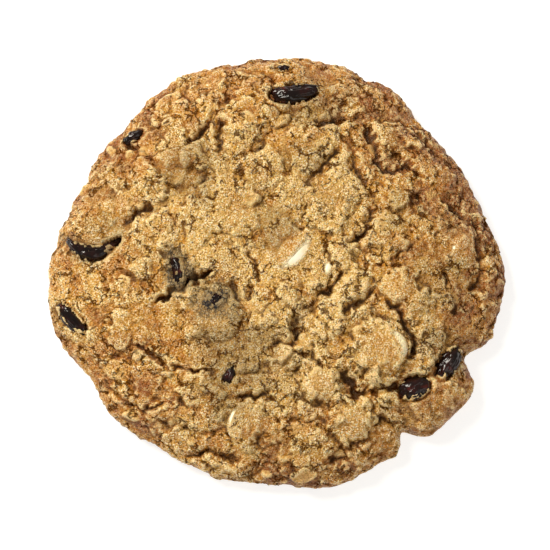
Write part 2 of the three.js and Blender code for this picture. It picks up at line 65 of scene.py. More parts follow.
# Lumps of dough: x, y, radius, height
LUMP_POWER = 4.0
LUMP_ROUND = 0.65
LUMP_SHARE = 0.77  # height of the lumps as a share of the list's
LUMPS = [
    (22.8, -19.7, 7.0, 2.6), (10.0, -27.2, 4.4, 1.8), (16.4, -34.4, 5.2, 1.8), (-13.5, -11.0, 6.0, 1.6),
    (-4.0, -35.0, 4.4, 1.2), (26.7, -5.4, 4.4, 1.6), (1.7, -21.7, 3.6, 1.3), (2.2, 3.6, 6.0, 0.7),
    (40.0, 4.6, 5.0, 0.9), (12.0, -12.6, 5.0, 1.5), (16.6, -5.2, 4.4, 1.4), (2.6, -11.0, 4.8, 1.2),
    (33.0, -15.2, 3.4, 1.3), (15.2, 17.6, 5.0, 1.3), (8.4, 26.0, 5.8, 1.5), (4.2, 15.0, 4.4, 1.0),
    (13.2, 24.3, 3.0, 1.1), (12.2, 10.6, 5.0, 1.0), (26.4, 15.6, 3.8, 1.1), (24.8, 28.6, 4.4, 1.4),
    (30.2, 26.4, 3.8, 1.3), (34.4, 20.4, 4.0, 1.2), (15.2, 2.8, 3.8, 1.1), (23.8, 7.0, 5.0, 1.2),
    (33.4, 9.8, 3.6, 1.1), (-8.6, 12.0, 5.8, 1.4), (-16.0, 9.6, 4.8, 1.2), (-26.2, 7.2, 4.6, 1.2),
    (-29.6, 2.4, 4.6, 1.1), (-27.6, 18.6, 5.4, 1.4), (-20.6, 25.5, 5.2, 1.5), (-22.0, 33.6, 4.8, 1.3),
    (-14.2, 34.6, 4.6, 1.2), (-6.0, 32.4, 5.8, 1.6), (-4.6, 39.8, 3.8, 1.0), (-40.6, 11.9, 6.0, 1.3),
    (-34.6, 20.4, 4.0, 1.0), (-18.4, -6.4, 4.2, 1.2), (-16.4, -28.0, 4.4, 1.3), (-24.2, -32.6, 4.2, 1.2),
    (-15.0, -33.4, 4.4, 1.2), (-26.8, -22.8, 5.0, 1.1), (-36.0, -16.4, 4.2, 0.9), (31.4, -21.2, 3.2, 1.2),
    (36.0, -30.5, 6.5, 1.6), (24.4, -30.2, 3.4, 1.0), (7.6, -40.4, 4.6, 1.0), (17.4, -40.8, 3.6, 1.0),
    (15.4, 37.2, 4.2, 1.1), (32.4, -8.8, 3.8, 1.0), (-31.5, -8.5, 5.5, 0.8), (-3.0, 22.0, 5.0, 1.1),
]
CALM_LUMPS = 9  # the first of them have a smoother skin
# Cracks: start x and y, end x and y, sideways bow, half width, depth
CRACKS = [
    (-22.4, 15.6, -8.7, 22.6, -0.6, 1.9, 2.3), (-8.7, 22.6, 5.0, 34.6, -1.3, 1.2, 2.2),
    (-22.4, 15.9, -32.0, 9.4, 1.0, 1.3, 1.7), (-32.6, 27.0, -22.4, 16.8, 1.5, 1.0, 1.8),
    (-10.7, 38.1, -18.5, 28.0, 1.6, 1.0, 1.7), (-11.5, 31.6, -11.3, 24.4, 0.0, 0.9, 1.8),
    (-25.5, -9.0, -20.2, -5.8, 0.3, 0.6, 2.6), (-20.2, -5.6, -14.2, -2.4, 0.8, 0.8, 3.2),
    (10.2, 31.4, 22.6, 34.3, -0.4, 1.2, 2.2), (19.1, 31.6, 24.3, 21.6, -0.3, 1.0, 2.0),
    (24.3, 21.6, 30.7, 20.4, 0.5, 1.0, 1.8), (14.6, 26.9, 8.0, 17.2, -1.0, 0.9, 1.7),
    (14.8, 26.7, 22.4, 15.0, -0.4, 1.2, 2.3), (21.1, 12.0, 17.6, 4.4, 0.5, 1.0, 1.9),
    (17.8, 0.8, 12.2, -5.6, 0.5, 1.1, 2.3), (12.2, -5.6, 5.0, -16.3, -2.2, 1.2, 2.5),
    (5.0, -16.5, -0.7, -17.4, 0.4, 0.9, 1.6), (-0.7, -17.4, -3.0, -23.6, 0.5, 1.0, 2.0),
    (-3.0, -23.8, -8.0, -23.8, 0.0, 0.8, 1.6), (-6.3, -29.0, -0.7, -28.5, 0.0, 0.9, 1.8),
    (-2.2, -31.7, -2.6, -38.4, 0.2, 0.9, 1.8), (7.8, -19.7, 9.4, -23.8, 0.0, 1.0, 2.0),
    (13.7, -24.6, 17.2, -29.7, 0.5, 1.3, 2.4), (17.2, -29.2, 26.5, -26.0, -0.8, 0.9, 1.9),
    (15.4, -31.4, 10.0, -31.3, 0.5, 1.0, 1.6), (15.9, -10.8, 21.1, -3.0, -1.4, 1.1, 2.0),
    (24.6, -9.0, 29.8, -18.5, 1.2, 1.2, 2.3), (42.8, 10.8, 43.3, -4.5, 1.2, 1.1, 1.6),
    (24.1, -34.6, 12.4, -41.4, 0.6, 1.2, 2.0), (32.6, -2.2, 33.0, -7.7, 0.0, 0.9, 1.5),
]
# Finer cracks, too narrow for the solids: the same fields
FINE_CRACKS = [
    (-18.9, 8.8, -23.9, 1.9, 0.5, 0.8, 1.5), (-19.6, 41.0, -25.0, 33.0, 0.8, 0.9, 1.3),
    (-8.0, 7.0, -4.1, -3.2, 0.6, 0.6, 1.3), (-6.1, -5.2, -5.4, -14.1, -0.3, 0.6, 1.2),
    (-9.1, -5.7, -7.6, -11.0, 0.2, 0.9, 1.3), (1.7, 13.7, 5.4, 7.2, -0.5, 0.6, 1.3),
    (0.2, -20.0, 8.0, -19.9, 0.0, 0.6, 1.3), (-1.5, -24.0, 3.9, -24.2, 0.0, 0.6, 1.3),
    (36.7, -1.6, 38.3, -10.5, 0.4, 0.7, 1.3), (31.3, 15.0, 31.7, 1.0, -0.8, 0.7, 1.4),
    (-29.3, -17.4, -23.3, -22.3, 0.0, 0.7, 1.4), (-23.3, -22.3, -12.8, -24.3, -0.5, 0.7, 1.5),
    (-27.6, -30.6, -20.2, -31.3, 1.4, 0.8, 1.4), (-23.3, -35.0, -15.2, -36.8, 0.8, 0.8, 1.5),
    (-20.6, -42.0, -8.5, -41.6, 0.8, 0.9, 1.3), (-36.3, -25.8, -28.0, -31.8, -0.5, 0.9, 1.2),
    (30.0, 6.0, 26.3, 1.9, 0.4, 0.6, 1.2), (37.6, 15.0, 42.4, 9.5, 0.0, 1.0, 1.2),
    (27.6, 33.0, 35.9, 23.0, 0.8, 1.2, 1.3), (10.5, 3.5, 12.5, -3.0, 0.3, 0.6, 1.1),
]
CRACK_PIECES = 6
CRACK_SPREAD = 1.7
CRACK_POINT = 1.4
# The dark floor of a crack is partly darker crumb and partly painted shade
CRACK_DARK = Group(narrow=0.6, full=1.6)  # the dark floor of a crack: share of its width, depth of full dark

# Clumped crust: wave or cell size, heights, seed
SWELL = Group(wave=17, height=0.75, seed=11)
CLUMP = Group(wave=7.4, height=0.4, seed=23)
KNOB = Group(wave=3.7, height=0.25, seed=37)
PLATE = Group(
    spacing=4.2, shortest=3.8, longest=8.2, tilt=0.16, bulge=0.3, lowest=-0.3, highest=0.4, gap=0.2, seed=51,
    reach=50, loose=0.9, inside=0.95, slimmest=0.5, widest=0.85, clear=1.5, flat=0.78, edge=1.06,
)
SLOPE_REACH = 1.5  # how far to each side the slope under a plate is taken
WARP = Group(wave=4.2, reach=1.2, seed=41)
BREAK = Group(wave=5.5, least=0.25, seed=43)
RELIEF_FADE = 2.6
SIDE_RISE = (3, 7)  # heights between which lumps and cracks grow to their full size

# Finer crust than the solids hold. Layers of noise: height, wave length, seed
FRAY = [(0.7, 2.9, 119), (0.55, 1.3, 111), (0.34, 0.6, 113)]
PLATE_FRAY = [(0.22, 1.8, 115), (0.1, 0.7, 116)]
RIM_FRAY = [(0.35, 2.6, 117), (0.3, 1.1, 118)]
RIM_FRAY_FROM = (0.86, 0.97)  # shares of the radius between which the frayed rim begins
CRUMB_SHIFT = [(0.9, 2.4, 131), (0.45, 1.0, 133), (0.2, 0.5, 135)]
CRUMB_RIDGES = [(0.12, 2.2, 161), (0.33, 1.15, 163)]
CRUMB_MEAN = 0.14
GRIT = [(0.13, 0.75, 162)]
SKIN = [(0.05, 0.7, 181)]
LARGE_CLUMP = dict(size=6.6, width=0.6, seed=141, broken_wave=8.0, whole_from=-0.1, whole_to=0.3)
SMALL_CLUMP = dict(size=3.1, width=0.5, seed=151, broken_wave=4.0, whole_from=0.0, whole_to=0.3)
CLUMP_STEPS = (0.12, 0.1)  # change of level from clump to clump, large and small
SPLIT_DEPTHS = (0.5, 0.2)
GRAIN = Group(size=1.3, border=0.22, height=0.22, seed=171)
ROUGH = Group(wave=3.0, smooth=-0.25, full=0.3, least=0.35, least_crumb=0.6, seed=165)
PIT = Group(spacing=1.8, smallest=0.1, spread=0.34, depth=0.8, seed=191)
CALM_LOSS = 0.7  # share of the finer crust that a calm spot loses
CALM_GRAIN_LOSS = 0.6
FINE_SHARE = 0.74  # height of the finer crust as a share of the layers above
LOWEST_TOP = 0.05  # no place of the upper side is lower

# Dried cherries. The heading is in degrees, the bow bends it sideways, the lift raises its middle, and the
# dip is the share of its thickness by which the dough sinks round it. The opening of the dough over it has
# a middle along and across, a half length and half width, all as shares of the fruit's own, then the
# thickness of the dough film beside the opening, and its raggedness
Fruit = namedtuple("Fruit", "name x y length width thickness heading bow lift dip opening")
CHERRIES = [Fruit(*row) for row in (
    ("cherry_back", 4.3, 38.4, 11.0, 4.6, 4.2, 8, 0.010, 0.5, 0.3, (0.0, -0.03, 1.05, 1.0, 0.08, 0.5)),
    ("cherry_left", -39.3, 4.0, 12.4, 3.8, 3.8, -1, 0.085, 0.3, 0.3, (0.0, -0.22, 1.05, 0.8, 0.12, 0.62)),
    ("cherry_left_front", -43.7, -11.2, 9.6, 3.4, 3.6, -46, 0.0, 0.3, 0.3, (0.0, -0.10, 1.0, 0.7, 0.08, 0.7)),
    ("cherry_right", 37.4, -21.3, 9.4, 4.6, 4.2, 57, 0.0, 0.4, 0.3, (0.02, 0.0, 1.14, 1.1, 0.05, 0.6)),
    ("cherry_right_front", 30.0, -26.9, 7.6, 5.2, 4.4, 20, 0.0, 0.6, 0.3, (0.0, 0.0, 1.05, 1.02, 0.08, 0.55)),
    ("cherry_middle", -20.6, -2.0, 8.4, 3.6, 4.0, 98, 0.03, 0.1, 0.08, (0.05, 0.0, 0.9, 0.7, 0.0, 1.3)),
    ("cherry_veiled", -12.6, -8.6, 6.4, 4.4, 3.8, 12, 0.0, 0.0, 0.0, (0.1, 0.2, 0.3, 0.3, 0.02, 0.9)),
    ("cherry_front", -9.6, -24.4, 4.8, 2.4, 3.0, 66, 0.0, 0.2, 0.25, (0.0, 0.0, 0.9, 0.8, 0.1, 0.2)),
    ("cherry_back_left", -30.7, 29.3, 5.0, 2.8, 3.0, 32, 0.0, 0.2, 0.2, (0.0, 0.0, 0.85, 0.7, 0.1, 0.3)),
    ("cherry_rim", 2.2, 44.9, 3.6, 2.0, 2.4, -5, 0.0, 0.0, 0.1, (0.0, 0.0, 0.8, 0.7, 0.1, 0.3)),
)]
# Pale chips: the same fields
CHIPS = [Fruit(*row) for row in (
    ("chip_middle", 3.9, 2.2, 9.2, 7.0, 4.2, 46, 0.0, -0.1, 0.05, (0.14, -0.44, 0.68, 0.17, 0.15, 0.3)),
    ("chip_tip", 11.5, -1.6, 3.0, 2.2, 2.6, 80, 0.0, 0.0, 0.1, (0.1, 0.0, 0.58, 0.42, 0.12, 0.1)),
    ("chip_right", 26.9, -17.9, 5.8, 2.6, 3.2, 113, 0.06, 0.1, 0.1, (0.0, -0.3, 0.75, 0.36, 0.15, 0.3)),
    ("chip_front", -7.0, -34.8, 7.4, 6.4, 4.2, 80, 0.0, 0.0, 0.08, (0.25, 0.76, 0.36, 0.07, 0.15, 0.12)),
    ("chip_far_right", 39.6, 4.2, 6.6, 4.8, 3.6, 50, 0.0, 0.0, 0.06, (-0.3, 0.1, 0.1, 0.12, 0.12, 0.1)),
)]
SINK_SHARE = 0.36
WRINKLE = Group(depth=0.1, wave=2.1, seed=71)
CREASE = Group(wave=0.9, depth=0.12, power=5, swell=0.03, seed=72)
SKIN_FACES = Group(count=26, power=22, turn=2.4, loose=0.8, nearest=0.84, farthest=0.98, seed=75)

# Oat flakes of the solids: x, y, length, width, heading in degrees, lean in degrees
FLAKES = [
    (6.4, -45.4, 5.2, 2.6, 8, 52), (-21.0, 19.4, 5.0, 3.4, 70, 8), (-23.2, 37.2, 6.0, 3.2, 40, 18),
    (31.0, 31.5, 5.2, 3.4, 30, 14), (-14.0, 36.0, 5.4, 3.6, 80, 12), (0.8, 31.6, 5.0, 3.4, 20, 10),
    (-33.0, -5.0, 5.4, 3.8, 60, 9), (-31.0, 14.5, 5.6, 3.8, -30, 8), (-6.0, 14.0, 6.0, 4.0, 15, 6),
    (9.0, 14.5, 5.4, 3.6, -40, 8), (24.0, 8.0, 5.8, 3.8, 70, 8), (38.5, -6.0, 5.4, 3.6, -60, 12),
    (18.0, -9.0, 5.2, 3.4, 35, 8), (-20.0, -33.0, 5.6, 3.8, 25, 10), (-34.0, -22.5, 5.6, 3.6, -45, 14),
    (5.0, -36.0, 5.0, 3.4, -15, 10), (34.6, 16.8, 5.2, 3.4, 55, 14), (-4.0, -9.5, 5.0, 3.4, 5, 8),
]
LAID_FLAKE = Group(first=0.35, raised=0.08, groove=0.08, groove_width=0.12, curl=0.5)
FLAKE_WOBBLE = [(0.3, 1.5, 211)]
DOME_FALL = 0.0022  # slope of the dough for each millimetre away from the middle
EXTRA_FLAKE = Group(
    count=30, inside=0.92, shortest=3.0, longest=5.2, slimmest=0.55, widest=0.8, lean=14,
    apart=3.6, clear=2.4,
)
RIM_FLAKE = (6.5, -45.6, 2.7, 1.15, 12, 0.5)  # x, y, half length, half width, heading in degrees, thickness
# Spots of smoother crust: x, y, radius, amount
SMOOTH_SPOTS = [
    (35.8, -32.0, 10.0, 0.45), (-21.0, 20.8, 5.0, 0.7), (-6.5, 11.5, 5.5, 0.6), (13.0, 13.7, 4.0, 0.6),
    (-34.0, 10.5, 6.0, 0.6), (33.0, 3.0, 4.5, 0.5), (-30.0, -12.0, 5.0, 0.5), (24.0, -38.0, 4.0, 0.5),
]
MOUND_SHARE = {"chip_middle": 0.35}  # how much of its rise the dough takes over a chip that shows low
VEILED_CHIPS = ("chip_right",)  # chips that show only through a thin film of dough
CRESCENT_BEND = 0.45  # how far the ends of an opening turn back to the fruit's middle line

# Dough over the fruit and chips: layers of noise, then limits as shares of an outline or of an opening
TEAR = [(0.4, 1.6, 221), (0.45, 0.8, 223)]
RAGGED = [(1.0, 0.9, 225)]
BUMPS = [(0.7, 1.9, 226), (0.5, 0.8, 227)]
COVER_REACH = 1.8
CHERRY_COVER = Group(lip=(1.04, 0.92), rim=(1.07, 0.99), film=0.1, crumb=0.12, under=0.6, thin=(0.05, 0.5))
CHIP_COVER = Group(
    slope=0.55, film=0.03, poke=-0.3, crumb=0.1, crumb_from=(1.2, 2.4), bare=(2.4, 1.2), rim=(1.05, 0.9),
    rise=0.15, shoulder=(1.8, 0.7), side=(0.2, -0.15), melt=(2.1, 0.8), melt_rim=(1.15, 0.9), melt_jag=0.4,
)

# Browner stretches of the crust, partly real browning and partly painted shade on the right side, which faces
# away from the key light: x, y, radius, amount
BROWNED_AND_SHADED_SPOTS = [
    (40, 14, 22, 0.6), (46, -6, 14, 0.55), (29, 2, 20, 0.2), (24, 34, 20, 0.45), (-27, -25, 18, 0.3),
    (6, -44, 18, 0.3), (36, -30, 14, 0.3), (-34, 30, 16, 0.4), (-4, 42, 18, 0.35), (-38, 8, 22, 0.15),
    (3.0, 3.6, 4.6, 0.35), (-6.0, -35.5, 4.6, 0.4), (-24, -8, 20, 0.22), (-20, 34, 16, 0.2),
]

# Paler stretches, partly paler dough and partly a painted highlight on the left rim, which faces the key
# light: the same fields
PALER_AND_LIT_SPOTS = [(-45, -3, 15, 0.16), (7, -34, 14, 0.11), (3, -13.5, 7, 0.2)]

# Stains of the fruit in the dough: name, how far it spills past the fruit, amount
STAINS = [
    ("cherry_veiled", 0.4, 0.85), ("cherry_veiled", 2.8, 0.45),
    ("cherry_middle", 1.6, 0.64), ("cherry_left", 1.0, 0.3),
]
STAIN_EDGE = [(0.3, 2.2, 231)]

# Painted shade: darker stretches over the dips and folds of the crust: x, y, radius, amount
PAINTED_SHADE_SPOTS = [
    (-8, -21, 13, 0.44), (-17.5, 20.5, 10, 0.32), (8, 36.5, 9, 0.42), (35, -4, 11, 0.27), (0, 7.5, 6.5, 0.36),
    (37, -18, 7, 0.28), (-10, -30, 7, 0.36), (27, 12, 7, 0.24), (5.5, 23.5, 7, 0.24), (-36, 7.5, 6, 0.24),
]

# Height over the smoothed surface, for the paint, which lays painted shade in low places and painted
# highlights on high ones: rounds of smoothing and height of full strength
NOOK = Group(rounds=10, full=0.32)
RISE = Group(rounds=70, full=0.9)
MOUND = Group(rounds=260, full=1.3)
UNDERSIDE_PAINT = dict(clump=0.5, flake=0.5, rough=0.6, edge=1.0)  # other values are 0 there

# Full strength of a spot reaches to this share of its radius, and noise frays its rim
BROWN_CORE = 0.2
SHADE_CORE = 0.35
SMOOTH_CORE = 0.6
SHADE_EDGE = [(0.25, 4.0, 141)]
SMOOTH_EDGE = [(0.3, 3.0, 121)]

# Mesh fineness and scatter
RINGS = 178
RING_STEP = 6  # points that each ring has more than the one inside it
UNDERSIDE_RINGS = [(0.985, 420), (0.93, 300), (0.75, 160), (0.5, 100), (0.25, 40), (0.0, 1)]
UPPER_MAP = (0.42, 0.415)  # middle and half size of each side in the flat map
LOWER_MAP = (0.845, 0.148 / 52.0)
FRUIT_FACETS = (72, 44)
SCATTER_SEED = 5


# Noise on a whole-number lattice, the same numbers as in the solids
def lattice(ix, iy, iz, seed):
    a, b, c = (np.asarray(v).astype(np.int64).astype(np.uint32) for v in (ix, iy, iz))
    with np.errstate(over="ignore"):
        h = (a * np.uint32(374761393)) ^ (b * np.uint32(668265263))
        h = h ^ (c * np.uint32(1440662683)) ^ np.uint32((seed * 974634777) % 4294967296)
        h = (h ^ (h >> np.uint32(13))) * np.uint32(1274126177)
        h = (h ^ (h >> np.uint32(15))) * np.uint32(739982445)
    return (h ^ (h >> np.uint32(16))) / 4294967296.0


def ease(low, high, value):
    t = np.clip((value - low) / (high - low), 0.0, 1.0)
    return t * t * (3 - 2 * t)


def mix(a, b, t):
    return a + (b - a) * t


def noise(x, y, z, wave, seed):
    place = [np.asarray(v) / wave for v in (x, y, z)]
    cell = [np.floor(p) for p in place]
    u, v, w = (ease(0, 1, p - c) for p, c in zip(place, cell))

    def corner(i, j, k):
        return lattice(cell[0] + i, cell[1] + j, cell[2] + k, seed)

    def edge(j, k):
        return mix(corner(0, j, k), corner(1, j, k), u)

    return 2 * mix(mix(edge(0, 0), edge(1, 0), v), mix(edge(0, 1), edge(1, 1), v), w) - 1


def layered(x, y, z, layers, shift=0):
    """Sum of layers of noise; the shift gives another set with the same sizes."""
    return sum(height * noise(x, y, z, wave, seed + shift) for height, wave, seed in layers)


def strongest(amounts):
    return functools.reduce(np.maximum, amounts)


def spot_share(x, y, spot):
    """Distance from a spot's middle as a share of its radius."""
    return np.hypot(x - spot[0], y - spot[1]) / spot[2]


def spots(x, y, listed, core, frayed=0.0):
    """Strongest of the listed round spots at each place."""
    return strongest(spot[3] * ease(1.0, core, spot_share(x, y, spot) + frayed) for spot in listed)


def turned(x, y, degrees):
    """Places along and across a heading."""
    c, s = math.cos(math.radians(degrees)), math.sin(math.radians(degrees))
    return x * c + y * s, y * c - x * s


def nearest_seeds(x, y, z, size, seed):
    """Distances to the two nearest scattered seeds, in cells, and a random number of each."""
    place = [np.asarray(v) / size for v in (x, y, z)]
    cell = [np.floor(p) for p in place]
    first = np.full(np.shape(x), 9.0)
    second = first.copy()
    tag = np.zeros(np.shape(x))
    next_tag = tag.copy()
    for i in (-1, 0, 1):
        for j in (-1, 0, 1):
            for k in (-1, 0, 1):
                at = (cell[0] + i, cell[1] + j, cell[2] + k)
                gap = sum((at[n] + lattice(*at, seed + n) - place[n]) ** 2 for n in range(3))
                gap = np.sqrt(gap)
                own = lattice(*at, seed + 3)
                next_tag = np.where(gap < first, tag, np.where(gap < second, own, next_tag))
                tag = np.where(gap < first, own, tag)
                second = np.minimum(second, np.maximum(first, gap))
                first = np.minimum(first, gap)
    return first, second, tag, next_tag


def stepped(first, second, tag, next_tag, width):
    """Random level of each cell, 0 to 1, sloping to the next cell's over a narrow border."""
    return mix((tag + next_tag) / 2, tag, ease(0, width, second - first))


# Form shared with the solids
def plan_radius(angle):
    count = len(PLAN_RADII)
    turn = np.mod(np.asarray(angle) / (2 * np.pi), 1.0)
    i = np.floor(turn * count).astype(int)
    t = turn * count - i
    a, b, c, d = (PLAN_RADII[(i + k) % count] for k in (-1, 0, 1, 2))
    radius = b + 0.5 * t * (c - a + t * (2 * a - 5 * b + 4 * c - d + t * (3 * (b - c) + d - a)))
    for at, half_width, depth in NICKS:
        off = np.mod(turn * 360 - at + 540, 360) - 180
        radius = radius - depth * np.exp(-((off / half_width) ** 2))
    return radius


def dome_height(share):
    left = np.maximum(0, 1 - np.minimum(1, share) ** DOME_POWER)
    return WIDEST_HEIGHT + (DOUGH_HEIGHT - WIDEST_HEIGHT) * left ** DOME_ROUND


def side_profile(rings):
    """Share of the radius, height, and the outward and upward parts of the normal, on each ring."""
    share = 1 - (1 - np.arange(PROFILE_STEPS + 1) / PROFILE_STEPS) ** 2
    turn = np.arange(1, PROFILE_STEPS // 4 + 1) / PROFILE_STEPS * 2 * np.pi
    across = np.concatenate([share, 1 - FOOT_INSET * (1 - np.cos(turn))])
    height = np.concatenate([dome_height(share), WIDEST_HEIGHT * (1 - np.sin(turn))])
    run = np.diff(across) * PROFILE_REACH
    rise = np.diff(height)
    size = np.hypot(run, rise)
    length = np.concatenate([[0], np.cumsum(size)])
    wanted = np.linspace(0, length[-1], rings + 1)
    at = np.clip(np.searchsorted(length, wanted), 1, len(size)) - 1
    outward = -rise[at] / size[at]
    upward = run[at] / size[at]
    return np.interp(wanted, length, across), np.interp(wanted, length, height), outward, upward


def crack_runs():
    runs = []
    for x0, y0, x1, y1, bow, half_width, depth in CRACKS + FINE_CRACKS:
        length = math.hypot(x1 - x0, y1 - y0)
        t = np.arange(CRACK_PIECES + 1) / CRACK_PIECES
        side = 4 * bow * t * (1 - t) / length
        px = mix(x0, x1, t) - (y1 - y0) * side
        py = mix(y0, y1, t) + (x1 - x0) * side
        for i in range(CRACK_PIECES):
            runs.append((px[i], py[i], px[i + 1], py[i + 1], half_width, depth))
    return runs


CRACK_RUNS = crack_runs()


def crack_depth(x, y, z, narrow=1.0):
    """Depth of the cracks, shallower where they break off."""
    wx, wy = warp(x, y, z)
    deepest = np.zeros(np.shape(x))
    for ax, ay, bx, by, half_width, depth in CRACK_RUNS:
        along = ((wx - ax) * (bx - ax) + (wy - ay) * (by - ay)) / ((bx - ax) ** 2 + (by - ay) ** 2)
        t = np.clip(along, 0, 1)
        off = np.hypot(wx - mix(ax, bx, t), wy - mix(ay, by, t))
        side = np.maximum(0, 1 - off / (CRACK_SPREAD * half_width * narrow))
        deepest = np.maximum(deepest, depth * side ** CRACK_POINT)
    broken = ease(-0.5, 0.4, noise(x, y, z, BREAK.wave, BREAK.seed))
    return mix(BREAK.least, 1, broken) * deepest


def lump_height(x, y):
    def one(lump):
        bulge = (1 - np.minimum(1, spot_share(x, y, lump)) ** LUMP_POWER) ** LUMP_ROUND
        return LUMP_SHARE * lump[3] * bulge

    return strongest(one(lump) for lump in LUMPS)


def smooth_relief(x, y, z):
    """Swells, clumps and lumps, without the plates and cracks of the crust."""
    wx, wy = warp(x, y, z)
    swell = SWELL.height * noise(x, y, z, SWELL.wave, SWELL.seed)
    fold = np.abs(noise(wx, wy, z, CLUMP.wave, CLUMP.seed))
    clump = CLUMP.height * (ease(0, 0.9, fold) - 0.4)
    knob = KNOB.height * noise(wx, wy, z, KNOB.wave, KNOB.seed)
    return swell + clump + knob + ease(*SIDE_RISE, z) * lump_height(wx, wy)


def warp(x, y, z):
    return (x + WARP.reach * noise(x, y, z, WARP.wave, WARP.seed),
            y + WARP.reach * noise(x, y, z, WARP.wave, WARP.seed + 1))


def base_height(x, y):
    return dome_height(np.hypot(x, y) / plan_radius(np.arctan2(y, x)))


def base_relief(x, y):
    return smooth_relief(x, y, base_height(x, y))


def calmness(x, y):
    return strongest(1 - ease(0.4, 0.95, spot_share(x, y, lump)) for lump in LUMPS[:CALM_LUMPS])


def beside_fruit(x, y):
    """1 over and beside the fruit and chips, 0 away from them."""
    return strongest(ease(1.3, 0.9, outline_share(x, y, fruit, PLATE.clear)) for fruit in CHERRIES + CHIPS)


def relief_slope(x, y, dx, dy):
    rise = base_relief(x + dx, y + dy) - base_relief(x - dx, y - dy)
    return rise / (2 * SLOPE_REACH)


def crust_plates():
    """Flat clumps on a loose grid: x, y, half length, half width, heading, level, slopes, tone."""
    reach = int(PLATE.reach / PLATE.spacing) + 1
    i, j = (a.ravel() for a in np.meshgrid(np.arange(-reach, reach + 1), np.arange(-reach, reach + 1)))
    r = [lattice(i, j, k, PLATE.seed) for k in range(9)]
    x = (i + PLATE.loose * (r[0] - 0.5)) * PLATE.spacing
    y = (j + PLATE.loose * (r[1] - 0.5)) * PLATE.spacing
    keep = (np.hypot(x, y) < PLATE.inside * plan_radius(np.arctan2(y, x))) & (calmness(x, y) < 0.5)
    for fruit in CHERRIES + CHIPS:
        keep &= outline_share(x, y, fruit, PLATE.clear) > 1.2
    x, y = x[keep], y[keep]
    r = [a[keep] for a in r]
    length = mix(PLATE.shortest, PLATE.longest, r[2] ** 1.5)
    width = length * mix(PLATE.slimmest, PLATE.widest, r[3])
    level = base_relief(x, y) + mix(PLATE.lowest, PLATE.highest, r[5])
    slope_x = relief_slope(x, y, SLOPE_REACH, 0) + PLATE.tilt * r[6] * np.cos(7 * r[7])
    slope_y = relief_slope(x, y, 0, SLOPE_REACH) + PLATE.tilt * r[6] * np.sin(7 * r[7])
    return np.stack([x, y, length / 2, width / 2, 180 * r[4], level, slope_x, slope_y, r[8]], axis=1)


def crust_relief(x, y, z, plates, frayed):
    """Height of the crust over the smooth dome, with the tone of the plate on top."""
    height = smooth_relief(x, y, z) - PLATE.gap * (1 - beside_fruit(x, y))
    tone = np.full(np.shape(x), -1.0)
    for cx, cy, half_long, half_wide, heading, level, slope_x, slope_y, own in plates:
        near = np.nonzero((np.abs(x - cx) < 1.3 * half_long) & (np.abs(y - cy) < 1.3 * half_long))[0]
        dx, dy = x[near] - cx, y[near] - cy
        u, v = turned(dx, dy, heading)
        off = np.hypot(u / half_long, v / half_wide) + frayed[near]
        top = level + slope_x * dx + slope_y * dy - PLATE.bulge * off * off
        cover = ease(PLATE.edge, PLATE.flat, off)
        above = (top > height[near]) & (cover > 0.5)
        tone[near] = np.where(above, own, tone[near])
        height[near] = mix(height[near], np.maximum(height[near], top), cover)
    return height - ease(*SIDE_RISE, z) * crack_depth(x, y, z), tone


def own_frame(x, y, fruit):
    """Place along and across a fruit, bow taken out, in millimetres."""
    u, v = turned(x - fruit.x, y - fruit.y, fruit.heading)
    return u, v - fruit.bow * (u * u - fruit.length ** 2 / 12)


def outline_share(x, y, fruit, grow):
    u, v = own_frame(x, y, fruit)
    return np.hypot(u / (fruit.length / 2 + grow), v / (fruit.width / 2 + grow))


def socket_depth(x, y):
    def one(fruit):
        return fruit.dip * fruit.thickness * (1 - ease(0.7, 1.1, outline_share(x, y, fruit, 0.2)))

    return strongest(one(fruit) for fruit in CHERRIES + CHIPS)


def fruit_middle(fruit):
    x, y = np.array([fruit.x]), np.array([fruit.y])
    crust = float(base_height(x, y)[0] + base_relief(x, y)[0])
    return crust - fruit.thickness * SINK_SHARE + fruit.lift


# Finer crust of the baked surface
def clumps(x, y, z, size, width, seed, broken_wave, whole_from, whole_to):
    """Clumps with narrow jagged splits between them: level of each, 0 to 1, and how deep in a split."""
    cell = nearest_seeds(x, y, z, size, seed)
    split = ease(width, 0.2 * width, (cell[1] - cell[0]) * size)
    split = split * ease(whole_from, whole_to, noise(x, y, z, broken_wave, seed + 7))
    return stepped(*cell, 0.4 * width / size), split


def fine_relief(x, y, z, calm):
    """Height of the crumb with its splits, grains and pits, levels of clumps and grains, and roughness."""
    sx = x + layered(x, y, z, CRUMB_SHIFT)
    sy = y + layered(x, y, z, CRUMB_SHIFT, 1)
    large, large_split = clumps(sx, sy, z, **LARGE_CLUMP)
    small, small_split = clumps(sx, sy, z, **SMALL_CLUMP)
    grains = stepped(*nearest_seeds(sx, sy, z, GRAIN.size, GRAIN.seed), GRAIN.border)
    bare = ease(ROUGH.smooth, ROUGH.full, noise(sx, sy, z, ROUGH.wave, ROUGH.seed))
    rough = mix(ROUGH.least, 1.0, bare)
    height = CLUMP_STEPS[0] * (large - 0.5) + CLUMP_STEPS[1] * (small - 0.5)
    height = height - SPLIT_DEPTHS[0] * large_split - SPLIT_DEPTHS[1] * small_split
    ridges = sum(layer[0] * np.abs(noise(sx, sy, z, *layer[1:])) for layer in CRUMB_RIDGES)
    height = height + mix(ROUGH.least_crumb, 1.0, rough) * (ridges - CRUMB_MEAN)
    height = height + rough * (GRAIN.height * (grains - 0.5) + layered(x, y, z, GRIT))
    first, _, own, _ = nearest_seeds(sx, sy, z, PIT.spacing, PIT.seed)
    pit = np.exp(-((first * PIT.spacing / (PIT.smallest + PIT.spread * own)) ** 2))
    height = (1 - CALM_LOSS * calm) * (height - PIT.depth * rough * pit) + layered(x, y, z, SKIN)
    return height, (large + small) / 2, grains, bare


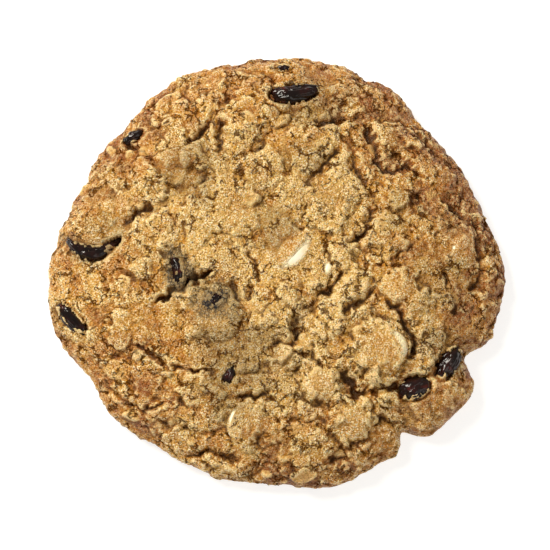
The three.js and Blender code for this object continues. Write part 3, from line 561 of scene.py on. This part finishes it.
def band_faces(inner_start, inner_count, outer_start, outer_count):
    """Triangles between two rings of points with any counts, walked round by angle."""
    faces = []
    inner_steps = inner_count if inner_count > 1 else 0
    outer_steps = outer_count if outer_count > 1 else 0
    i = j = 0
    while i < inner_steps or j < outer_steps:
        inner = inner_start + i % inner_count
        outer = outer_start + j % outer_count
        behind = (j + 0.5) / outer_count <= (i + 0.5) / inner_count
        if j < outer_steps and (i >= inner_steps or behind):
            faces.append((inner, outer, outer_start + (j + 1) % outer_count))
            j += 1
        else:
            faces.append((inner, outer, inner_start + (i + 1) % inner_count))
            i += 1
    return faces


def smoothed(values, pairs, rounds):
    """Values averaged with their neighbours along the mesh edges."""
    count = len(values)
    ends = np.concatenate([pairs[:, 0], pairs[:, 1]])
    others = np.concatenate([pairs[:, 1], pairs[:, 0]])
    weight = np.maximum(np.bincount(ends, minlength=count), 1)
    for _ in range(rounds):
        near = np.bincount(ends, weights=values[others], minlength=count) / weight
        values = 0.5 * values + 0.5 * near
    return values


def scattered_flakes(rng):
    """Oat flakes spread over the top, clear of the fruit and chips."""
    flakes = list(FLAKES)
    while len(flakes) < len(FLAKES) + EXTRA_FLAKE.count:
        angle = rng.uniform(0, 2 * math.pi)
        share = math.sqrt(rng.uniform(0, EXTRA_FLAKE.inside))
        reach = share * float(plan_radius(angle))
        x, y = reach * math.cos(angle), reach * math.sin(angle)
        size = rng.uniform(EXTRA_FLAKE.shortest, EXTRA_FLAKE.longest)
        shape = rng.uniform(EXTRA_FLAKE.slimmest, EXTRA_FLAKE.widest)
        heading = rng.uniform(0, 180)
        lean = rng.uniform(-EXTRA_FLAKE.lean, EXTRA_FLAKE.lean)
        if min(float(outline_share(x, y, f, EXTRA_FLAKE.clear)) for f in CHERRIES + CHIPS) < 1:
            continue
        if min(math.hypot(x - f[0], y - f[1]) for f in flakes) < EXTRA_FLAKE.apart:
            continue
        flakes.append((x, y, size, size * shape, heading, lean))
    return flakes


def lay_flakes(x, y, z, flakes):
    """Raises the crust to each flake's top and returns the new heights and how much is flake."""
    cover = np.zeros(len(z))
    for number, (cx, cy, length, width, heading, lean) in enumerate(flakes):
        near = np.nonzero((np.abs(x - cx) < length) & (np.abs(y - cy) < length))[0]
        dx, dy = x[near] - cx, y[near] - cy
        wobble = layered(dx + 7 * number, dy, 0 * dx, FLAKE_WOBBLE)
        u, v = turned(dx, dy, heading)
        v = v / (width / 2)
        off = np.hypot(u / (length / 2), v) + wobble
        inside = off < 1.25
        if not np.any(inside):
            continue
        near, dx, dy, v, off = (a[inside] for a in (near, dx, dy, v, off))
        core = off < 0.7
        level = np.median(z[near][core] if np.any(core) else z[near])
        raised = LAID_FLAKE.raised if number else LAID_FLAKE.first
        away = math.atan2(cy, cx)
        downhill = dx * math.cos(away) + dy * math.sin(away)
        slope = math.tan(math.radians(lean)) + DOME_FALL * math.hypot(cx, cy)
        groove = LAID_FLAKE.groove * np.exp(-((v / LAID_FLAKE.groove_width) ** 2))
        top = level + raised - slope * downhill - groove - LAID_FLAKE.curl * np.clip(off, 0, 2) ** 6
        gain = ease(-0.05, 0.2, top - z[near])
        z[near] = mix(z[near], np.maximum(top, z[near]), ease(1.15, 0.95, off))
        cover[near] = np.maximum(cover[near], gain * ease(1.1, 0.85, off))
    return z, cover


def cover_cherry(z, top, share, gap, bumpy, ragged, film):
    """Dough torn open over a cherry: new heights and how much of it is a thin film."""
    kind = CHERRY_COVER
    opened = ease(*kind.lip, gap) * ease(*kind.rim, share)
    veil = top + film + kind.crumb * (ragged + bumpy) + kind.film
    covered = np.where(share < 1.0, np.maximum(z, veil), z)
    thin = ease(*kind.thin, covered - z) * (1 - opened)
    return mix(covered, np.minimum(z, top - kind.under), opened), thin


def cover_chip(fruit, outside, z, top, share, gap, bumpy, ragged, film):
    """Dough drawn thin over a chip: new heights, how bare the chip is, and how far its cream shows."""
    kind = CHIP_COVER
    crumbly = np.maximum(0, kind.crumb * (1 + 2 * ragged + 3 * bumpy))
    lowest = kind.film if fruit.name in VEILED_CHIPS else kind.poke
    veil = top + np.clip(kind.slope * (gap - 1), lowest, film) + crumbly * ease(*kind.crumb_from, gap)
    bare = ease(*kind.bare, gap) * ease(*kind.rim, share)
    mound = fruit.thickness * (0.5 - SINK_SHARE) + fruit.lift + kind.rise
    mound = MOUND_SHARE.get(fruit.name, 1.0) * mound
    lifted = z + mound * ease(*kind.shoulder, share) * ease(*kind.side, outside)
    covered = np.where(share < 1.0, np.maximum(lifted, veil), lifted)
    melt = ease(*kind.melt, gap + kind.melt_jag * bumpy) * ease(*kind.melt_rim, share)
    return mix(covered, veil, bare), bare, melt


def open_over_fruit(x, y, z):
    """Draws the dough over the shoulders of each fruit and chip and opens it with a torn edge."""
    level = 0 * x
    tear_x = layered(x, y, level, TEAR)
    tear_y = layered(x, y, level, TEAR, 1)
    ragged_all = layered(x, y, level, RAGGED)
    bumpy_all = layered(x, y, level, BUMPS)
    film_all = np.zeros(len(z))
    melt_all = np.zeros(len(z))
    for fruit in CHERRIES + CHIPS:
        along, across, half_long, half_wide, film, torn = fruit.opening
        share = outline_share(x, y, fruit, 0.0)
        near = np.nonzero(share < COVER_REACH)[0]
        share, bumpy, ragged = share[near], bumpy_all[near], ragged_all[near]
        top = fruit_middle(fruit) + fruit.thickness / 2 * np.sqrt(np.maximum(0, 1 - share ** 2))
        tear = 1 if fruit in CHERRIES else 0
        u, v = own_frame(x[near] + tear * tear_x[near], y[near] + tear * tear_y[near], fruit)
        u, v = u / (fruit.length / 2), v / (fruit.width / 2)
        bent = across * (1 - CRESCENT_BEND * u * u)
        gap = np.hypot((u - along) / half_long, (v - bent) / half_wide) + torn * bumpy
        place = (z[near], top, share, gap, bumpy, ragged, film)
        if fruit in CHERRIES:
            z[near], thin = cover_cherry(*place)
        else:
            z[near], thin, melt = cover_chip(fruit, (v - bent) * np.sign(across), *place)
            melt_all[near] = np.maximum(melt_all[near], melt)
        film_all[near] = np.maximum(film_all[near], thin)
    return z, film_all, melt_all


def placed(name, data):
    made = bpy.data.objects.new(name, data)
    bpy.context.scene.collection.objects.link(made)
    return made


def mesh_object(name, places, faces, corner_uv):
    mesh = bpy.data.meshes.new(name)
    shifted = (np.asarray(places) + np.array([*PLAN_SHIFT, 0.0])) * MM
    mesh.from_pydata(shifted.tolist(), [], np.asarray(faces).tolist())
    mesh.polygons.foreach_set("use_smooth", np.full(len(mesh.polygons), True))
    layer = mesh.uv_layers.new(name="OFBake")
    layer.data.foreach_set("uv", np.asarray(corner_uv, dtype=np.float32).ravel())
    mesh.update()
    return placed(name, mesh)


def put_attribute(made, name, values):
    layer = made.data.attributes.new(name, "FLOAT", "POINT")
    layer.data.foreach_set("value", np.asarray(values, dtype=np.float32))


# Dough
def rim_flake(x, y):
    """1 on the oat flake that stands out of the rim, 0 beside it."""
    fx, fy, half_long, half_wide, heading, _ = RIM_FLAKE
    u, v = turned(x - fx, y - fy, heading)
    return ease(1.08, 0.95, np.hypot(u / half_long, v / half_wide))


def dough_surface():
    """Points of the upper side, ring by ring, with what the paint needs to know of each."""
    share, height, outward, upward = side_profile(RINGS)
    counts = [max(1, RING_STEP * r) for r in range(RINGS + 1)]
    ring = np.repeat(np.arange(RINGS + 1), counts)
    angle = np.concatenate([np.arange(c) / c * 2 * np.pi for c in counts])
    cos, sin = np.cos(angle), np.sin(angle)
    reach = share[ring] * plan_radius(angle)
    x, y, z = reach * cos, reach * sin, height[ring]
    up, out = upward[ring], outward[ring]
    fade = ease(0, RELIEF_FADE, z)

    smooth = spots(x, y, SMOOTH_SPOTS, SMOOTH_CORE, layered(x, y, z, SMOOTH_EDGE))
    calm = np.maximum(calmness(x, y), smooth)
    fx, fy = x + layered(x, y, z, FRAY), y + layered(x, y, z, FRAY, 1)
    coarse, plate = crust_relief(fx, fy, z, crust_plates(), layered(x, y, z, PLATE_FRAY))
    fine, clump, grains, rough = fine_relief(x, y, z, calm)
    rim = ease(*RIM_FRAY_FROM, share[ring]) * layered(x, y, z, RIM_FRAY)
    off = fade * (coarse + FINE_SHARE * fine + rim)
    lens = rim_flake(x, y)
    off = mix(off, RIM_FLAKE[-1] + 0.3 * fade * coarse, lens)
    sink = fade * (np.maximum(0, up) * socket_depth(x, y))

    px, py = x + out * off * cos, y + out * off * sin
    bare = z + up * off - sink
    top_side = up > 0.35
    lifted, oat = lay_flakes(px, py, bare.copy(), scattered_flakes(np.random.default_rng(SCATTER_SEED)))
    lifted, film, melt = open_over_fruit(px, py, lifted)
    pz = np.where(top_side, lifted, bare)
    pz = np.where(ring == RINGS, 0, np.maximum(LOWEST_TOP, pz))
    deep = crack_depth(fx, fy, z, CRACK_DARK.narrow) / CRACK_DARK.full
    paint = dict(
        plate=np.where(plate < 0, 0.3, plate), clump=clump, flake=grains, edge=share[ring], melt=melt,
        # Browner and paler stretches: partly real browning, partly painted shade on the right side and a
        # painted highlight on the left rim
        brown=spots(x, y, BROWNED_AND_SHADED_SPOTS, BROWN_CORE) - spots(x, y, PALER_AND_LIT_SPOTS, BROWN_CORE),
        deep=ease(*SIDE_RISE, z) * np.clip(deep, 0, 1), oat=np.maximum(np.where(top_side, oat, 0), lens),
        rough=rough * (1 - CALM_GRAIN_LOSS * calm), calm=np.maximum(calm, 0.5 * film),
        # Painted shade over the dips and folds of the crust
        shade=spots(x, y, PAINTED_SHADE_SPOTS, SHADE_CORE, layered(x, y, 0 * x, SHADE_EDGE)),
        stain=fruit_stain(px, py, pz),
    )
    gain = off - sink + np.where(top_side, pz - bare, 0)
    flat = np.stack([ring / RINGS * cos, ring / RINGS * sin], axis=1)
    places = np.stack([px, py, pz], axis=1)
    return Group(places=places, counts=counts, gain=gain, flat=flat, paint=paint)


def fruit_stain(x, y, z):
    """How far the juice of the cherries has stained the dough."""
    frayed = layered(x, y, z, STAIN_EDGE)
    named = {fruit.name: fruit for fruit in CHERRIES}

    def one(name, spill, amount):
        return amount * ease(1.2, 0.6, outline_share(x, y, named[name], spill) + frayed)

    return strongest(one(*row) for row in STAINS)


def add_underside(places, bands):
    """Flat rings below the foot, down to the middle point."""
    for part, count in UNDERSIDE_RINGS:
        turn = np.arange(count) / count * 2 * np.pi
        reach = part * (1 - FOOT_INSET) * plan_radius(turn)
        bands.append((bands[-1][0] + bands[-1][1], count))
        places.append(np.stack([reach * np.cos(turn), reach * np.sin(turn), np.zeros(count)], axis=1))


def make_dough():
    top = dough_surface()
    starts = np.concatenate([[0], np.cumsum(top.counts)])[:-1]
    bands = [(int(start), count) for start, count in zip(starts, top.counts)]
    places = [top.places]
    add_underside(places, bands)
    joined = [band_faces(*a, *b) for a, b in zip(bands, bands[1:])]
    upper_faces = sum(len(faces) for faces in joined[:RINGS])
    places = np.concatenate(places)
    triangles = np.array([face for faces in joined for face in faces])

    below = len(places) - len(top.places)
    upper_map = UPPER_MAP[0] + UPPER_MAP[1] * np.concatenate([top.flat, np.zeros((below, 2))])
    lower_map = LOWER_MAP[0] + LOWER_MAP[1] * places[:, :2]
    corners = [upper_map[triangles[:upper_faces].ravel()], lower_map[triangles[upper_faces:].ravel()]]
    made = mesh_object("cookie_crust", places, triangles, np.concatenate(corners))

    for name, values in top.paint.items():
        put_attribute(made, name, np.concatenate([values, np.full(below, UNDERSIDE_PAINT.get(name, 0.0))]))
    pairs = np.concatenate([triangles[:, [0, 1]], triangles[:, [1, 2]], triangles[:, [2, 0]]])
    gain = np.concatenate([top.gain, np.zeros(below)])
    narrow = smoothed(gain, pairs, NOOK.rounds)
    wide = smoothed(gain, pairs, RISE.rounds)
    broad = smoothed(wide, pairs, MOUND.rounds)
    for name, level, kind in (("nook", narrow, NOOK), ("rise", wide, RISE), ("mound", broad, MOUND)):
        put_attribute(made, name, np.clip((gain - level) / kind.full, -1, 1))
    return made


# Round pieces: points on a ball, their faces and a flat map of each face
def ball(around, along):
    lon = np.arange(around) / around * 2 * np.pi
    lat = np.arange(1, along) / along * np.pi
    ux = np.concatenate([[0], np.outer(np.sin(lat), np.cos(lon)).ravel(), [0]])
    uy = np.concatenate([[0], np.outer(np.sin(lat), np.sin(lon)).ravel(), [0]])
    uz = np.concatenate([[1], np.outer(np.cos(lat), np.ones(around)).ravel(), [-1]])
    last = 1 + (along - 1) * around
    faces, flat = [], []
    for i in range(around):
        j = (i + 1) % around
        left, right, half = i / around, (i + 1) / around, (i + 0.5) / around
        faces.append((0, 1 + i, 1 + j))
        flat.append(((half, 0), (left, 1 / along), (right, 1 / along)))
        for r in range(along - 2):
            a, b = 1 + r * around, 1 + (r + 1) * around
            high, low = (r + 1) / along, (r + 2) / along
            faces += [(a + i, b + i, b + j), (a + i, b + j, a + j)]
            flat += [((left, high), (left, low), (right, low)), ((left, high), (right, low), (right, high))]
        a = 1 + (along - 2) * around
        faces.append((a + i, last, a + j))
        flat.append(((left, 1 - 1 / along), (half, 1), (right, 1 - 1 / along)))
    return np.stack([ux, uy, uz], axis=1), np.array(faces), np.array(flat)


def tight_skin(points, offset):
    """Share of the radius left by flat faces at random turns, a dried skin drawn tight in places."""
    k = np.arange(SKIN_FACES.count)
    own = k * 0 + int(abs(10 * offset))
    up = 2 * (k + 0.5) / len(k) - 1
    turn = k * SKIN_FACES.turn + offset + SKIN_FACES.loose * lattice(k, k * 0, own, SKIN_FACES.seed)
    flat = np.stack([np.sqrt(1 - up * up) * np.cos(turn), np.sqrt(1 - up * up) * np.sin(turn), up], axis=1)
    drawn = lattice(k, k * 0 + 1, own, SKIN_FACES.seed + 1)
    pressed = np.maximum(points @ flat.T, 0) / mix(SKIN_FACES.nearest, SKIN_FACES.farthest, drawn)
    return (pressed ** SKIN_FACES.power).sum(axis=1) ** (-1 / SKIN_FACES.power)


def make_fruit(fruit, dried):
    points, faces, flat = ball(*FRUIT_FACETS)
    ux, uy, uz = points.T
    swell = np.ones(len(ux))
    if dried:
        wrinkle = noise(ux * 3 + fruit.x, uy * 3 + fruit.y, uz * 3, WRINKLE.wave, WRINKLE.seed)
        fold = noise(ux * 1.8 + fruit.x, uy * 2.8 + fruit.y, uz * 2.8, CREASE.wave, CREASE.seed)
        swell = (1 + WRINKLE.depth * wrinkle) * tight_skin(points, fruit.x)
        swell = swell - CREASE.depth * (1 - np.abs(fold)) ** CREASE.power + CREASE.swell
    u = ux * (fruit.length / 2) * swell
    v = uy * (fruit.width / 2) * swell + fruit.bow * (u * u - fruit.length ** 2 / 12)
    w = uz * (fruit.thickness / 2) * swell
    du, dv = turned(u, v, -fruit.heading)
    places = np.stack([fruit.x + du, fruit.y + dv, fruit_middle(fruit) + w], axis=1)
    named = fruit.name.replace("cherry", "dried_cherry").replace("chip", "pale_chip")
    return mesh_object(named, places, faces, flat)


# Materials
def linear(r, g, b):
    def one(v):
        v = v / 255
        return v / 12.92 if v <= 0.04045 else ((v + 0.055) / 1.055) ** 2.4
    return (one(r), one(g), one(b), 1.0)


class Nodes:
    """Small helper to write a material's nodes in order."""

    def __init__(self, name):
        self.material = bpy.data.materials.new(name)
        self.material.use_nodes = True
        self.tree = self.material.node_tree
        self.shader = self.tree.nodes["Principled BSDF"]
        self.place = self.tree.nodes.new("ShaderNodeTexCoord").outputs["Object"]

    def put(self, socket, value):
        if isinstance(value, bpy.types.NodeSocket):
            self.tree.links.new(value, socket)
        else:
            socket.default_value = value

    def fill(self, node, **values):
        """Puts values or links on a node's sockets."""
        for socket, value in values.items():
            self.put(node.inputs[socket.replace("_", " ")], value)
        return node

    def add(self, kind, **values):
        return self.fill(self.tree.nodes.new("ShaderNode" + kind), **values)

    def shade(self, **values):
        self.fill(self.shader, **values)

    def attribute(self, name):
        node = self.add("Attribute")
        node.attribute_name = name
        return node.outputs["Fac"]

    def noise_node(self, size, detail, rough):
        return self.add("TexNoise", Vector=self.place, Scale=1 / (size * MM), Detail=detail, Roughness=rough)

    def noise(self, size, detail=3.0, rough=0.55):
        return self.noise_node(size, detail, rough).outputs["Fac"]

    def operate(self, kind, operation, *values):
        node = self.add(kind)
        node.operation = operation
        for socket, value in zip(node.inputs, values):
            self.put(socket, value)
        return node

    def warped(self, size, reach):
        """The place moved about by noise of a given size."""
        drift = self.noise_node(size, 2.0, 0.5).outputs["Color"]
        away = self.operate("VectorMath", "SUBTRACT", drift, (0.5, 0.5, 0.5)).outputs[0]
        return self.operate("VectorMath", "MULTIPLY_ADD", away, (2 * reach * MM,) * 3, self.place).outputs[0]

    def cells(self, place, size, feature="F1"):
        node = self.add("TexVoronoi", Vector=place, Scale=1 / (size * MM))
        node.feature = feature
        return node

    def math(self, kind, a, b, clamp=False):
        node = self.operate("Math", kind, a, b)
        node.use_clamp = clamp
        return node.outputs[0]

    def span(self, value, low, high, to_low=0.0, to_high=1.0):
        node = self.add("MapRange", Value=value, From_Min=low, From_Max=high, To_Min=to_low, To_Max=to_high)
        return node.outputs[0]

    def blend(self, amount, a, b):
        node = self.add("Mix", Factor=amount)
        node.data_type = "RGBA"
        self.put(node.inputs[6], a)
        self.put(node.inputs[7], b)
        return node.outputs[2]

    def tint(self, colour, laid, value, none, full, strength):
        """A colour with another laid on it, as strong as a value says."""
        return self.blend(self.span(value, none, full, 0, strength), colour, laid)

    def ramp(self, value, stops):
        node = self.add("ValToRGB", Fac=value)
        ramp = node.color_ramp
        while len(ramp.elements) < len(stops):
            ramp.elements.new(0.5)
        for element, (at, colour) in zip(ramp.elements, stops):
            element.position = at
            element.color = colour
        return node.outputs["Color"]

    def bump(self, height, strength, distance_mm):
        node = self.add("Bump", Strength=strength, Distance=distance_mm * MM, Height=height)
        return node.outputs["Normal"]

    def grain(self):
        """Crumb grains: their relief, a random number of each, how near its border, and a finer speckle."""
        cells = self.cells(self.warped(0.5, 0.2), 0.58)
        fine = self.noise(0.33, 1.0, 0.6)
        small = self.noise(0.3, 1.5, 0.6)
        away = cells.outputs["Distance"]
        height = self.math("SUBTRACT", self.math("MULTIPLY", small, 1.3), self.math("MULTIPLY", away, 0.6))
        return height, self.span(cells.outputs["Color"], 0.0, 1.0), away, self.span(fine, 0.31, 0.69)

    def speckled(self, colour, number, away, speck, tone, calm):
        """Pale and amber grains over a ground colour, with painted shade at their borders and in tiny pits,
        and painted glints on raised grains.
        """
        colour = self.tint(colour, PALE_CRUMB, number, 0.5, 0.9, 0.36)
        colour = self.tint(colour, AMBER, number, 0.4, 0.1, 0.34)
        strewn = self.span(self.attribute("rough"), 0.1, 0.8, 0.5, 1.0)
        strewn = self.math("MULTIPLY", strewn, self.span(calm, 0.1, 0.9, 1.0, 0.75))
        # Painted shade between grains and in tiny pits, and painted glints on raised grains
        border = self.math("MULTIPLY", strewn, self.span(away, 0.46, 0.7, 0, 0.25))
        dark = self.math("MULTIPLY", strewn, self.span(speck, 0.27, 0.07, 0, 1.0))
        lit = self.span(self.attribute("nook"), -0.3, 0.3, 0.25, 1.0)
        lit = self.math("MULTIPLY", lit, self.span(tone, 0.2, 0.9, 1.0, 0.25))
        bright = self.math("MULTIPLY", lit, self.span(speck, 0.57, 0.77, 0, 1.0))
        colour = self.blend(border, colour, NOOK_SHADE_BROWN)
        colour = self.blend(dark, colour, PIT_SHADE_SPECK)
        return self.blend(bright, colour, GLINT)

    def split_lines(self, size, width, jag, broken_size, least):
        """Thin broken jagged lines between clumps, for painted shade in hairline splits, 1 in the middle of a
        line.
        """
        edges = self.cells(self.warped(0.7, jag), size, "DISTANCE_TO_EDGE").outputs["Distance"]
        line = self.span(edges, width / size, 0.2 * width / size)
        return self.math("MULTIPLY", line, self.span(self.noise(broken_size, 2), least, least + 0.06))


# Colours of the baked crust, from pale to well browned, and of what lies on it
CRUST = [
    (0.0, linear(227, 179, 90)), (0.3, linear(210, 149, 41)),
    (0.65, linear(194, 124, 13)), (1.0, linear(152, 82, 4)),
]
# Painted shade in nooks, hollows and between grains
NOOK_SHADE_BROWN = linear(94, 57, 14)
# Painted shade in tiny pits
PIT_SHADE_SPECK = linear(70, 39, 7)
AMBER = linear(168, 99, 18)
PALE_CRUMB = linear(247, 209, 138)
# Painted highlight on raised crests
CREST_HIGHLIGHT = linear(253, 223, 162)
GLINT = linear(255, 242, 206)
# Darker crumb with painted shade on crack floors and in deep hollows
CRACK_BROWN_AND_SHADE = linear(56, 32, 10)
# Painted shade in hairline splits and pinholes
SPLIT_SHADE_BROWN = linear(78, 39, 12)
KHAKI = linear(172, 134, 66)
# Painted shade in the dips and folds of the crust
PAINTED_SHADE_BROWN = linear(70, 48, 22)
TAN = linear(194, 132, 52)
OAT_CREAM = linear(226, 180, 104)
CHIP_CREAM = linear(254, 238, 196)
STAIN_GREY = linear(134, 112, 76)
STAIN_BLACK = linear(30, 26, 28)
CHERRY = [(0.4, linear(15, 5, 5)), (0.6, linear(34, 11, 9)), (0.8, linear(84, 26, 16))]
CHIP = [(0.3, linear(252, 236, 198)), (0.7, linear(255, 248, 228))]

# What browns the crust, with painted shade in hollows and a painted highlight on raised parts from mound and
# rise: attribute, its low and high value, and the change of tone at each
BROWNING_AND_SHADING = [
    ("edge", 0.45, 1.0, 0.0, 0.5), ("clump", 0.1, 0.9, 0.13, -0.12), ("flake", 0.0, 1.0, 0.11, -0.11),
    ("mound", -0.8, 0.8, 0.22, -0.2), ("rise", -0.7, 0.7, 0.14, -0.14), ("plate", 0.0, 1.0, -0.13, 0.13),
]
# What colours the crust, with painted shade and highlights among it: attribute, its value at no strength and
# at full strength, that strength, colour
LAID_COLOURS = [
    ("oat", 0.2, 1.0, 0.6, OAT_CREAM), ("nook", 0.16, 0.7, 0.64, CREST_HIGHLIGHT),
    ("nook", -0.2, -0.85, 0.65, NOOK_SHADE_BROWN), ("rise", -0.25, -0.9, 0.36, NOOK_SHADE_BROWN),
    ("rise", -0.6, -1.0, 0.4, CRACK_BROWN_AND_SHADE), ("deep", 0.4, 1.0, 0.5, CRACK_BROWN_AND_SHADE),
    ("shade", 0.0, 1.0, 1.0, PAINTED_SHADE_BROWN),
]
# Hairline splits between clumps of crumb, painted dark as the shade in them
LARGE_SPLITS = dict(size=3.4, width=0.26, jag=0.8, broken_size=3.2, least=0.51)
SMALL_SPLITS = dict(size=1.7, width=0.2, jag=0.5, broken_size=2.3, least=0.585)


def crust_tone(n, mottle):
    """How brown the crust is, 0 to 1, with painted shade in hollows and on the right side and painted
    highlights on raised parts and the left rim.
    """
    tone = n.span(n.noise(6, 2), 0.35, 0.65, -0.3, 0.32)
    tone = n.math("ADD", tone, n.span(mottle, 0.3, 0.7, -0.15, 0.15))
    for name, low, high, at_low, at_high in BROWNING_AND_SHADING:
        tone = n.math("ADD", tone, n.span(n.attribute(name), low, high, at_low, at_high))
    return n.math("ADD", tone, n.attribute("brown"), clamp=True)


def stained(n, colour, mottle):
    """Cream of the chips and juice of the cherries that show through the dough."""
    colour = n.tint(colour, CHIP_CREAM, n.attribute("melt"), 0.05, 0.85, 0.95)
    stain = n.attribute("stain")
    colour = n.tint(colour, STAIN_GREY, stain, 0.0, 0.8, 0.75)
    lace = n.cells(n.warped(0.5, 0.3), 0.95, "DISTANCE_TO_EDGE").outputs["Distance"]
    blot = n.math("MULTIPLY", stain, n.span(mottle, 0.58, 0.46, 0.2, 1.3), clamp=True)
    blot = n.math("MULTIPLY", blot, n.span(lace, 0.2, 0.06, 0.15, 1.0), clamp=True)
    return n.blend(blot, colour, STAIN_BLACK)


def dough_material():
    n = Nodes("baked_dough")
    mottle = n.noise(2.2, 3)
    calm = n.attribute("calm")
    height, number, away, speck = n.grain()
    cracked = n.span(calm, 0.1, 0.8, 1.0, 0.12)
    lines = n.math("MAXIMUM", n.split_lines(**LARGE_SPLITS), n.split_lines(**SMALL_SPLITS))
    lines = n.math("MULTIPLY", lines, cracked)
    pin = n.math("MULTIPLY", cracked, n.span(n.noise(0.62, 0.0), 0.28, 0.2, 0.0, 0.75))
    tone = crust_tone(n, mottle)
    colour = n.ramp(tone, CRUST)
    colour = n.tint(colour, KHAKI, n.noise(11, 2), 0.52, 0.68, 0.4)
    colour = n.tint(colour, TAN, calm, 0.2, 0.9, 0.4)
    colour = n.speckled(colour, number, away, speck, tone, calm)
    # Painted shade in nooks, hollows, cracks and dips, a painted highlight on crests, and the cream of oat
    # flakes
    for name, none, full, strength, laid in LAID_COLOURS:
        colour = n.tint(colour, laid, n.attribute(name), none, full, strength)
    # Painted shade in hairline splits and pinholes
    colour = n.blend(n.math("MULTIPLY", lines, 0.9), colour, SPLIT_SHADE_BROWN)
    colour = n.blend(pin, colour, SPLIT_SHADE_BROWN)
    n.shade(Base_Color=stained(n, colour, mottle), Roughness=n.span(number, 0.0, 1.0, 0.5, 0.24))
    n.shade(Specular_IOR_Level=n.span(lines, 0.0, 0.6, 0.42, 0.0))
    n.shade(Subsurface_Weight=0.15, Subsurface_Radius=(1.0, 0.5, 0.2), Subsurface_Scale=0.7 * MM)
    n.shade(Normal=n.bump(n.math("SUBTRACT", height, lines), 1.0, 0.45))
    return n.material


def cherry_material():
    n = Nodes("dried_cherry_skin")
    patch = n.noise(2.0, 3)
    n.shade(Base_Color=n.ramp(patch, CHERRY), Roughness=n.span(patch, 0.3, 0.7, 0.05, 0.14))
    n.shade(Specular_IOR_Level=0.32, Normal=n.bump(n.noise(1.1, 2), 0.2, 0.2))
    return n.material


def chip_material():
    n = Nodes("pale_chip_body")
    patch = n.noise(1.6, 3)
    n.shade(Base_Color=n.ramp(patch, CHIP), Roughness=n.span(patch, 0.3, 0.7, 0.35, 0.5))
    n.shade(Normal=n.bump(n.noise(0.7, 3), 0.25, 0.2))
    return n.material


def dress(piece, look, node):
    piece.data.materials.append(look)
    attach(piece, "root")
    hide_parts(node)


dress(make_dough(), dough_material(), "cookie_dough")
cherry_skin = cherry_material()
chip_look = chip_material()
for fruit in CHERRIES:
    dress(make_fruit(fruit, True), cherry_skin, fruit.name)
for fruit in CHIPS:
    dress(make_fruit(fruit, False), chip_look, fruit.name)

# Floor, light and camera
FLOOR_HEIGHT = -0.02 * MM  # a hair under the cookie, so that the two faces don't meet
FLOOR_REACH = 3
KEY_LIGHT = dict(place=(-0.52, 0.40, 0.68), size=0.45, power=10.9, colour=(1.0, 0.945, 0.83))
FILL_LIGHT = dict(place=(0.5, -0.4, 0.7), size=0.7, power=1.7, colour=(1.0, 0.96, 0.9))
ROOM_COLOUR = (1.0, 0.93, 0.80, 1)
ROOM_STRENGTH = 0.39
CAMERA_ELEVATION = 78
CAMERA_DISTANCE = 0.8
CAMERA_TARGET = Vector((-0.0004, -0.0011, 0.0036))
SENSOR_WIDTH = 36
PIXELS = 550
PIXELS_PER_MM = 4.6

floor_mesh = bpy.data.meshes.new("floor")
corners = [(x * FLOOR_REACH, y * FLOOR_REACH, FLOOR_HEIGHT) for x, y in ((-1, -1), (1, -1), (1, 1), (-1, 1))]
floor_mesh.from_pydata(corners, [], [(0, 1, 2, 3)])
floor = placed("floor", floor_mesh)
floor_look = Nodes("pale_floor")
floor_look.shade(Base_Color=(0.45, 0.45, 0.45, 1), Roughness=0.9)
floor_look.shade(Emission_Color=(1, 1, 1, 1), Emission_Strength=0.72)
floor.data.materials.append(floor_look.material)


def aim(made, place, target):
    made.location = place
    made.rotation_mode = "QUATERNION"
    made.rotation_quaternion = (target - place).to_track_quat("-Z", "Y")


def area_light(name, place, size, power, colour):
    data = bpy.data.lights.new(name, "AREA")
    data.shape = "DISK"
    data.size = size
    data.energy = power
    data.color = colour
    aim(placed(name, data), Vector(place), Vector())


area_light("key_light", **KEY_LIGHT)
area_light("fill_light", **FILL_LIGHT)

world = bpy.data.worlds.new("studio")
bpy.context.scene.world = world
world.use_nodes = True
world.node_tree.nodes["Background"].inputs["Color"].default_value = ROOM_COLOUR
world.node_tree.nodes["Background"].inputs["Strength"].default_value = ROOM_STRENGTH

camera_data = bpy.data.cameras.new("camera")
camera = placed("camera", camera_data)
bpy.context.scene.camera = camera
field = PIXELS / PIXELS_PER_MM * MM
camera_data.sensor_width = SENSOR_WIDTH
camera_data.lens = SENSOR_WIDTH * CAMERA_DISTANCE / field
camera_data.clip_start = 0.05
tilt = math.radians(CAMERA_ELEVATION)
backward = Vector((0, -math.cos(tilt), math.sin(tilt)))
aim(camera, CAMERA_TARGET + CAMERA_DISTANCE * backward, CAMERA_TARGET)

bpy.context.scene.view_settings.view_transform = "Standard"
